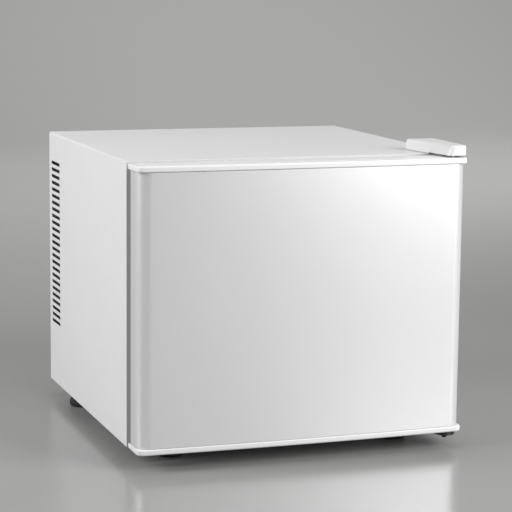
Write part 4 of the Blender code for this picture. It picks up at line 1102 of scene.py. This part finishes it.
def slots_in_circle(radius, count, pitch):
    """Height and length of each slot that together fill a circle."""
    return [(z, 2 * sqrt(radius * radius - z * z)) for z in spread(count, (count - 1) * pitch)]


def make_air_cover():
    """The housing over the cold side, with an inlet before the fan and outlets above and below."""
    low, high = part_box("air_cover")
    w = high.x - low.x
    plan = box_plan(low.x, high.x, low.z, high.z, 9 * MM)
    t = 2 * MM
    hollow = rounded(low.x + t, high.x - t, low.z + t, high.z - t, 7 * MM)
    ring = INNER_FAN * FAN_RING - 1.2 * MM
    reach = (low.y - SHEET, low.y + 2 * t, "Y")
    openings = [(0, CENTRE_Z + z, length) for z, length in slots_in_circle(ring, 9, ring / 4.6)]
    openings += [(0, z, w * 0.66) for z in (low.z + 12 * MM, low.z + 20 * MM)]
    openings += [(0, z, w * 0.66) for z in (high.z - 20 * MM, high.z - 12 * MM)]
    changes = [
        (CUT, prisms((hollow, low.y + t, high.y + SHEET, "Y"))),
        (CUT, prisms(*[(slot(x, z, length, AIR_SLOT), *reach) for x, z, length in openings])),
    ]
    body = stack(soft_rings(plan, low.y, high.y, 3 * MM, 0, 6), "Y")
    piece(
        "cold_air_cover", body, AIR_PLASTIC, "cabinet", ["air_cover"], changes,
        edge=0.35 * MM, angle=50,
    )


# ---------------------------------------------------------------- fans and rear


def polar(radius, angle):
    return (radius * cos(angle), radius * sin(angle))


def hub_plan(radius):
    """outline(inset) of a circle about the fans' axis."""
    return lambda inset: circle(0, CENTRE_Z, radius - inset)


def corner_circles(offset, radius, steps, near, far):
    """Round cutters at the four corners of a square about the fans' axis."""
    places = [(a * offset, CENTRE_Z + b * offset) for a in (-1, 1) for b in (-1, 1)]
    return [(circle(x, z, radius, steps), near, far, "Y") for x, z in places]


def make_fan_frame(name, node_name, size, behind, look):
    """A square fan frame with corner holes, a flared throat and a motor on four struts."""
    low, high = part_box(node_name)
    ring, hub = size * FAN_RING, size * FAN_HUB
    plan = box_plan(low.x, high.x, low.z, high.z, 4 * MM)
    flare, over = 1.6 * MM, 0.1 * MM
    wide, narrow = circle(0, CENTRE_Z, ring + flare, 64), circle(0, CENTRE_Z, ring, 64)
    throat = [(wide, low.y - over), (narrow, low.y + flare), (narrow, high.y - flare)]
    throat += [(wide, high.y + over)]
    corner = size / 2 - size * 0.055
    holes = corner_circles(corner, size * 0.022, 20, low.y - SHEET, high.y + SHEET)
    side, face = (-1, high.y) if behind else (1, low.y)
    strut = sorted((face + side * 0.5 * MM, face + side * 2.5 * MM))
    boss = sorted((face + side * 0.2 * MM, face + side * 3.3 * MM))
    struts = []
    for turn in (0.5, 1.5, 2.5, 3.5):
        a = turn * pi / 2
        along, across = Vector((cos(a), sin(a))), Vector((-sin(a), cos(a))) * 1.4 * MM
        ends = (along * hub * 0.6, along * (ring + 2 * MM))
        corners = [ends[0] - across, ends[1] - across, ends[1] + across, ends[0] + across]
        struts.append(([(p.x, CENTRE_Z + p.y) for p in corners], *strut, "Y"))
    motor = stack(soft_rings(hub_plan(hub), *boss, 0.5 * MM, 0.5 * MM, 3), "Y")
    changes = [(CUT, stack(throat, "Y")), (CUT, prisms(*holes))]
    changes += [(JOIN, prisms(s)) for s in struts] + [(JOIN, motor)]
    piece(
        name, prisms((plan(0), low.y, high.y, "Y")), look, "cabinet", [node_name],
        changes, angle=30,
    )


def make_fan_rotor(name, node_name, size, body, look):
    """A hub with seven pitched, swept blades."""
    low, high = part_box(node_name)
    hub, tip = size * FAN_HUB, (high.z - low.z) / 2
    start, end = low.y, high.y
    bm = bmesh.new()
    add_stack(bm, soft_rings(hub_plan(hub), start, end, 1 * MM, 1 * MM, 4), "Y")
    across, along = 9, 10
    for blade in range(BLADES):
        grid = []
        for k in range(along + 1):
            share = k / along
            radius = hub * 0.93 + (tip - hub * 0.93) * share
            pitch = 0.62 * (hub + 0.25 * (tip - hub)) / radius + 0.12
            row = []
            for m in range(across + 1):
                t = m / across - 0.5
                angle = 2 * pi * blade / BLADES + 0.32 * share + t * pitch * 1.15
                y = (start + end) / 2 + t * (end - start) * 0.86 + (t * t - 0.25) * 1.6 * MM
                x, z = polar(radius, angle)
                row.append((Vector((x, y, CENTRE_Z + z)), t))
            grid.append(row)
        sheets = []
        for side in (-1, 1):
            half = side * 0.55 * MM
            shifted = [[p + Vector((0, half * (1 - 3.2 * t * t), 0)) for p, t in row] for row in grid]
            sheets.append([[bm.verts.new(p) for p in row] for row in shifted])
        front, rear = sheets
        for k in range(along):
            for m in range(across):
                bm.faces.new((front[k][m], front[k][m + 1], front[k + 1][m + 1], front[k + 1][m]))
                bm.faces.new((rear[k][m], rear[k + 1][m], rear[k + 1][m + 1], rear[k][m + 1]))
        edge = [(k, 0) for k in range(along)] + [(along, m) for m in range(across)]
        edge += [(k, across) for k in range(along, 0, -1)] + [(0, m) for m in range(across, 0, -1)]
        for (a, b), (c, d) in zip(edge, edge[1:] + edge[:1]):
            bm.faces.new((front[a][b], front[c][d], rear[c][d], rear[a][b]))
    piece(name, bm, look, body, [node_name], angle=40)


def make_rear_grille():
    """The guard over the rear fan: rows of slots either side of a middle rib, on a raised plate."""
    low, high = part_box("rear_grille")
    plan = box_plan(low.x, high.x, low.z, high.z, 8 * MM)
    ring = REAR_FAN * FAN_RING - 1 * MM
    reach = (low.y - SHEET, high.y + SHEET, "Y")
    slots = []
    for z, length in slots_in_circle(ring, 13, ring / 6.5):
        for side in (-1, 1):
            middle = side * (length / 4 + 1 * MM)
            outline = slot(middle, CENTRE_Z + z, length / 2 - 2 * MM, GUARD_SLOT)
            slots.append((outline, *reach))
    corner = high.x - 7 * MM
    dimples = corner_circles(corner, 2.6 * MM, 24, high.y - 0.9 * MM, high.y + SHEET)
    changes = [(CUT, prisms(*slots)), (CUT, prisms(*dimples))]
    body = stack(soft_rings(plan, low.y, high.y, 0, 0.8 * MM, 3), "Y")
    piece(
        "rear_fan_guard", body, BLACK_PLASTIC, "cabinet", ["rear_grille"], changes,
        edge=0.25 * MM, angle=50,
    )


def make_mains_inlet():
    """A recessed inlet with three flat pins."""
    low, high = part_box("mains_inlet")
    x, z = (low.x + high.x) / 2, (low.z + high.z) / 2
    end = high.y

    def frame_plan(grow):
        w, h = 14 * MM + grow, 10 * MM + grow
        return (x - w, x + w, z - h, z + h)

    flange = end - SHEET - GAP
    cut_corner = 5 * MM
    x0, x1, z0, z1 = frame_plan(-2 * MM)
    recess = [(x0, z0), (x1, z0), (x1, z1 - cut_corner), (x1 - cut_corner, z1)]
    recess += [(x0 + cut_corner, z1), (x0, z1 - cut_corner)]
    changes = [
        (JOIN, prisms((rounded(*frame_plan(3 * MM), 3 * MM), flange - 2 * MM, flange, "Y"))),
        (CUT, prisms((recess, end - 16 * MM, end + SHEET, "Y"))),
    ]
    body = prisms((rounded(*frame_plan(0), 1.5 * MM), low.y, end, "Y"))
    piece(
        "inlet_body", body, BLACK_PLASTIC, "cabinet", ["mains_inlet"], changes,
        edge=0.4 * MM, angle=50,
    )
    pins = bmesh.new()
    for dx, dz in ((-7, -1.5), (0, 2.5), (7, -1.5)):
        px, pz = x + dx * MM, z + dz * MM
        plan = box_plan(px - 1 * MM, px + 1 * MM, pz - 2.5 * MM, pz + 2.5 * MM, 0.4 * MM, 3)
        add_stack(pins, soft_rings(plan, end - 17 * MM, end - 3 * MM, 0, 0.7 * MM, 3), "Y")
    piece("inlet_pins", pins, INLET_BRASS, "cabinet", [], angle=40)


# ---------------------------------------------------------------- pieces that stay as their solids


def finish_hidden_solids():
    """Finishes for the solids whose own shape is shown."""
    finishes = {
        CABINET_FOAM: ("cabinet_foam", "door_foam"),
        ZINC_STEEL: ("compartment_wall", "top_hinge_plate", "top_hinge_pin"),
        SINK_ALUMINIUM: ("cold_sink", "hot_sink", "spacer_block"),
        MODULE_CERAMIC: ("peltier_module",),
        BLACK_PLASTIC: ("board_carrier",),
        BOARD_GREEN: ("power_board",),
        GREY_PLASTIC: ("top_hinge_bush", "bottom_hinge_bush"),
    }
    for look, names in finishes.items():
        for name in names:
            solid = frame["nodes"][name]
            solid.data.materials.clear()
            solid.data.materials.append(look)


# ---------------------------------------------------------------- surroundings


FLOOR_SHADE = (0.3, 0.3, 0.295)
AMBIENT = 0.25
EYE = (-0.7271, -2.1022, 0.5504)
BACKDROP_SPOT = (1.5, 4.5)

# name, direction from straight ahead in degrees, distance, height, height aimed at, size, power
SOFTBOXES = (
    ("left", -88, 1.6, 0.95, 0.3, (0.6, 1.0), 25),
    ("right", 40, 1.6, 0.8, 0.25, (1.15, 1.1), 32),
    ("overhead", 150, 0.35, 2.2, 0.0, (1.8, 1.8), 12),
    ("backdrop", 130, 2.2, 2.4, 1.3, (2.6, 0.8), 176),
)


def look_at(thing, place, target):
    thing.location = place
    thing.rotation_euler = (Vector(target) - Vector(place)).to_track_quat("-Z", "Y").to_euler()


def make_camera():
    """Looks down a little at the left front corner, with its lens held a trace off level."""
    yaw, pitch, roll = radians(19.37), radians(-8.964), radians(0.591)
    forward = Vector((sin(yaw) * cos(pitch), cos(yaw) * cos(pitch), sin(pitch)))
    right = Vector((cos(yaw), -sin(yaw), 0))
    up = right.cross(forward)
    right, up = right * cos(roll) + up * sin(roll), up * cos(roll) - right * sin(roll)
    lens = bpy.data.cameras.new("camera")
    lens.sensor_width = 36
    lens.lens = 132.3
    camera = bpy.data.objects.new("camera", lens)
    turn = Matrix((right, up, -forward)).transposed().to_4x4()
    camera.matrix_world = Matrix.Translation(EYE) @ turn
    bpy.context.scene.collection.objects.link(camera)
    bpy.context.scene.camera = camera


def studio_finish():
    """The floor's finish: even, pale and a little glossy."""
    made = bpy.data.materials.new("pale studio floor")
    made.use_nodes = True
    tree = made.node_tree
    shader = tree.nodes["Principled BSDF"]
    shade = place_group(tree, MOTTLING, Color=(*FLOOR_SHADE, 1), Amount=0.1, Scale=0.8)
    tree.links.new(shade, shader.inputs["Base Color"])
    rough = place_group(tree, UNEVEN_GLOSS, Roughness=0.2, Spread=0.03, Scale=3.0)
    tree.links.new(rough, shader.inputs["Roughness"])
    return made


def make_studio():
    """A floor that sweeps up into a backdrop, and soft lights round the refrigerator."""
    bm = bmesh.new()
    wide, start, turn, high = 9.0, -6.0, 2.2, 7.0
    line = [(start, 0.0)] + arc(3.4, turn, turn, -90, 0, 16) + [(3.4 + turn, high)]
    rows = [[bm.verts.new((x, y, z)) for y, z in line] for x in (-wide, wide)]
    for a, b, c, d in zip(rows[0], rows[0][1:], rows[1][1:], rows[1]):
        bm.faces.new((a, b, c, d))
    sweep = link("studio_sweep", bm)
    sweep.data.materials.append(studio_finish())
    sweep.data.shade_smooth()
    world = bpy.data.worlds.new("studio air")
    world.use_nodes = True
    world.node_tree.nodes["Background"].inputs["Color"].default_value = (1, 1, 1, 1)
    world.node_tree.nodes["Background"].inputs["Strength"].default_value = AMBIENT
    bpy.context.scene.world = world
    for name, direction, distance, height, aim, size, power in SOFTBOXES:
        lamp = bpy.data.lights.new(name + " softbox", "AREA")
        lamp.shape = "RECTANGLE"
        lamp.size, lamp.size_y = size
        lamp.energy = power
        box = bpy.data.objects.new(name + " softbox", lamp)
        turn = radians(direction)
        target = (*BACKDROP_SPOT, aim) if name == "backdrop" else (0, 0, aim)
        look_at(box, (distance * sin(turn), -distance * cos(turn), height), target)
        bpy.context.scene.collection.objects.link(box)
    bpy.context.scene.view_settings.view_transform = "Standard"


make_cabinet()
make_floor_sheet()
make_rear_cover()
make_cavity_liner()
make_feet()
make_screws()
make_lower_bracket()
make_hinge_cover()
make_door_skin()
make_door_cap("door_head_cap", "door_top_cap", DOOR_TOP, 1)
make_door_cap("door_foot_cap", "door_bottom_cap", DOOR_LOW, -1)
make_inner_door()
make_door_seal()
make_rack("lower_rack", "door_rack_lower")
make_rack("upper_rack", "door_rack_upper")
make_shelf()
make_controls()
make_knob()
make_lens()
make_air_cover()
make_fan_frame("outer_fan_frame", "rear_fan_frame", REAR_FAN, True, BLACK_PLASTIC)
make_fan_frame("cold_fan_frame", "inner_fan_frame", INNER_FAN, False, AIR_PLASTIC)
make_fan_rotor(
    "outer_fan_blades", "rear_fan_rotor", REAR_FAN, "rear_fan", BLACK_PLASTIC
)
make_fan_rotor(
    "cold_fan_blades", "inner_fan_rotor", INNER_FAN, "inner_fan", AIR_PLASTIC
)
make_rear_grille()
make_mains_inlet()
finish_hidden_solids()
make_camera()
make_studio()
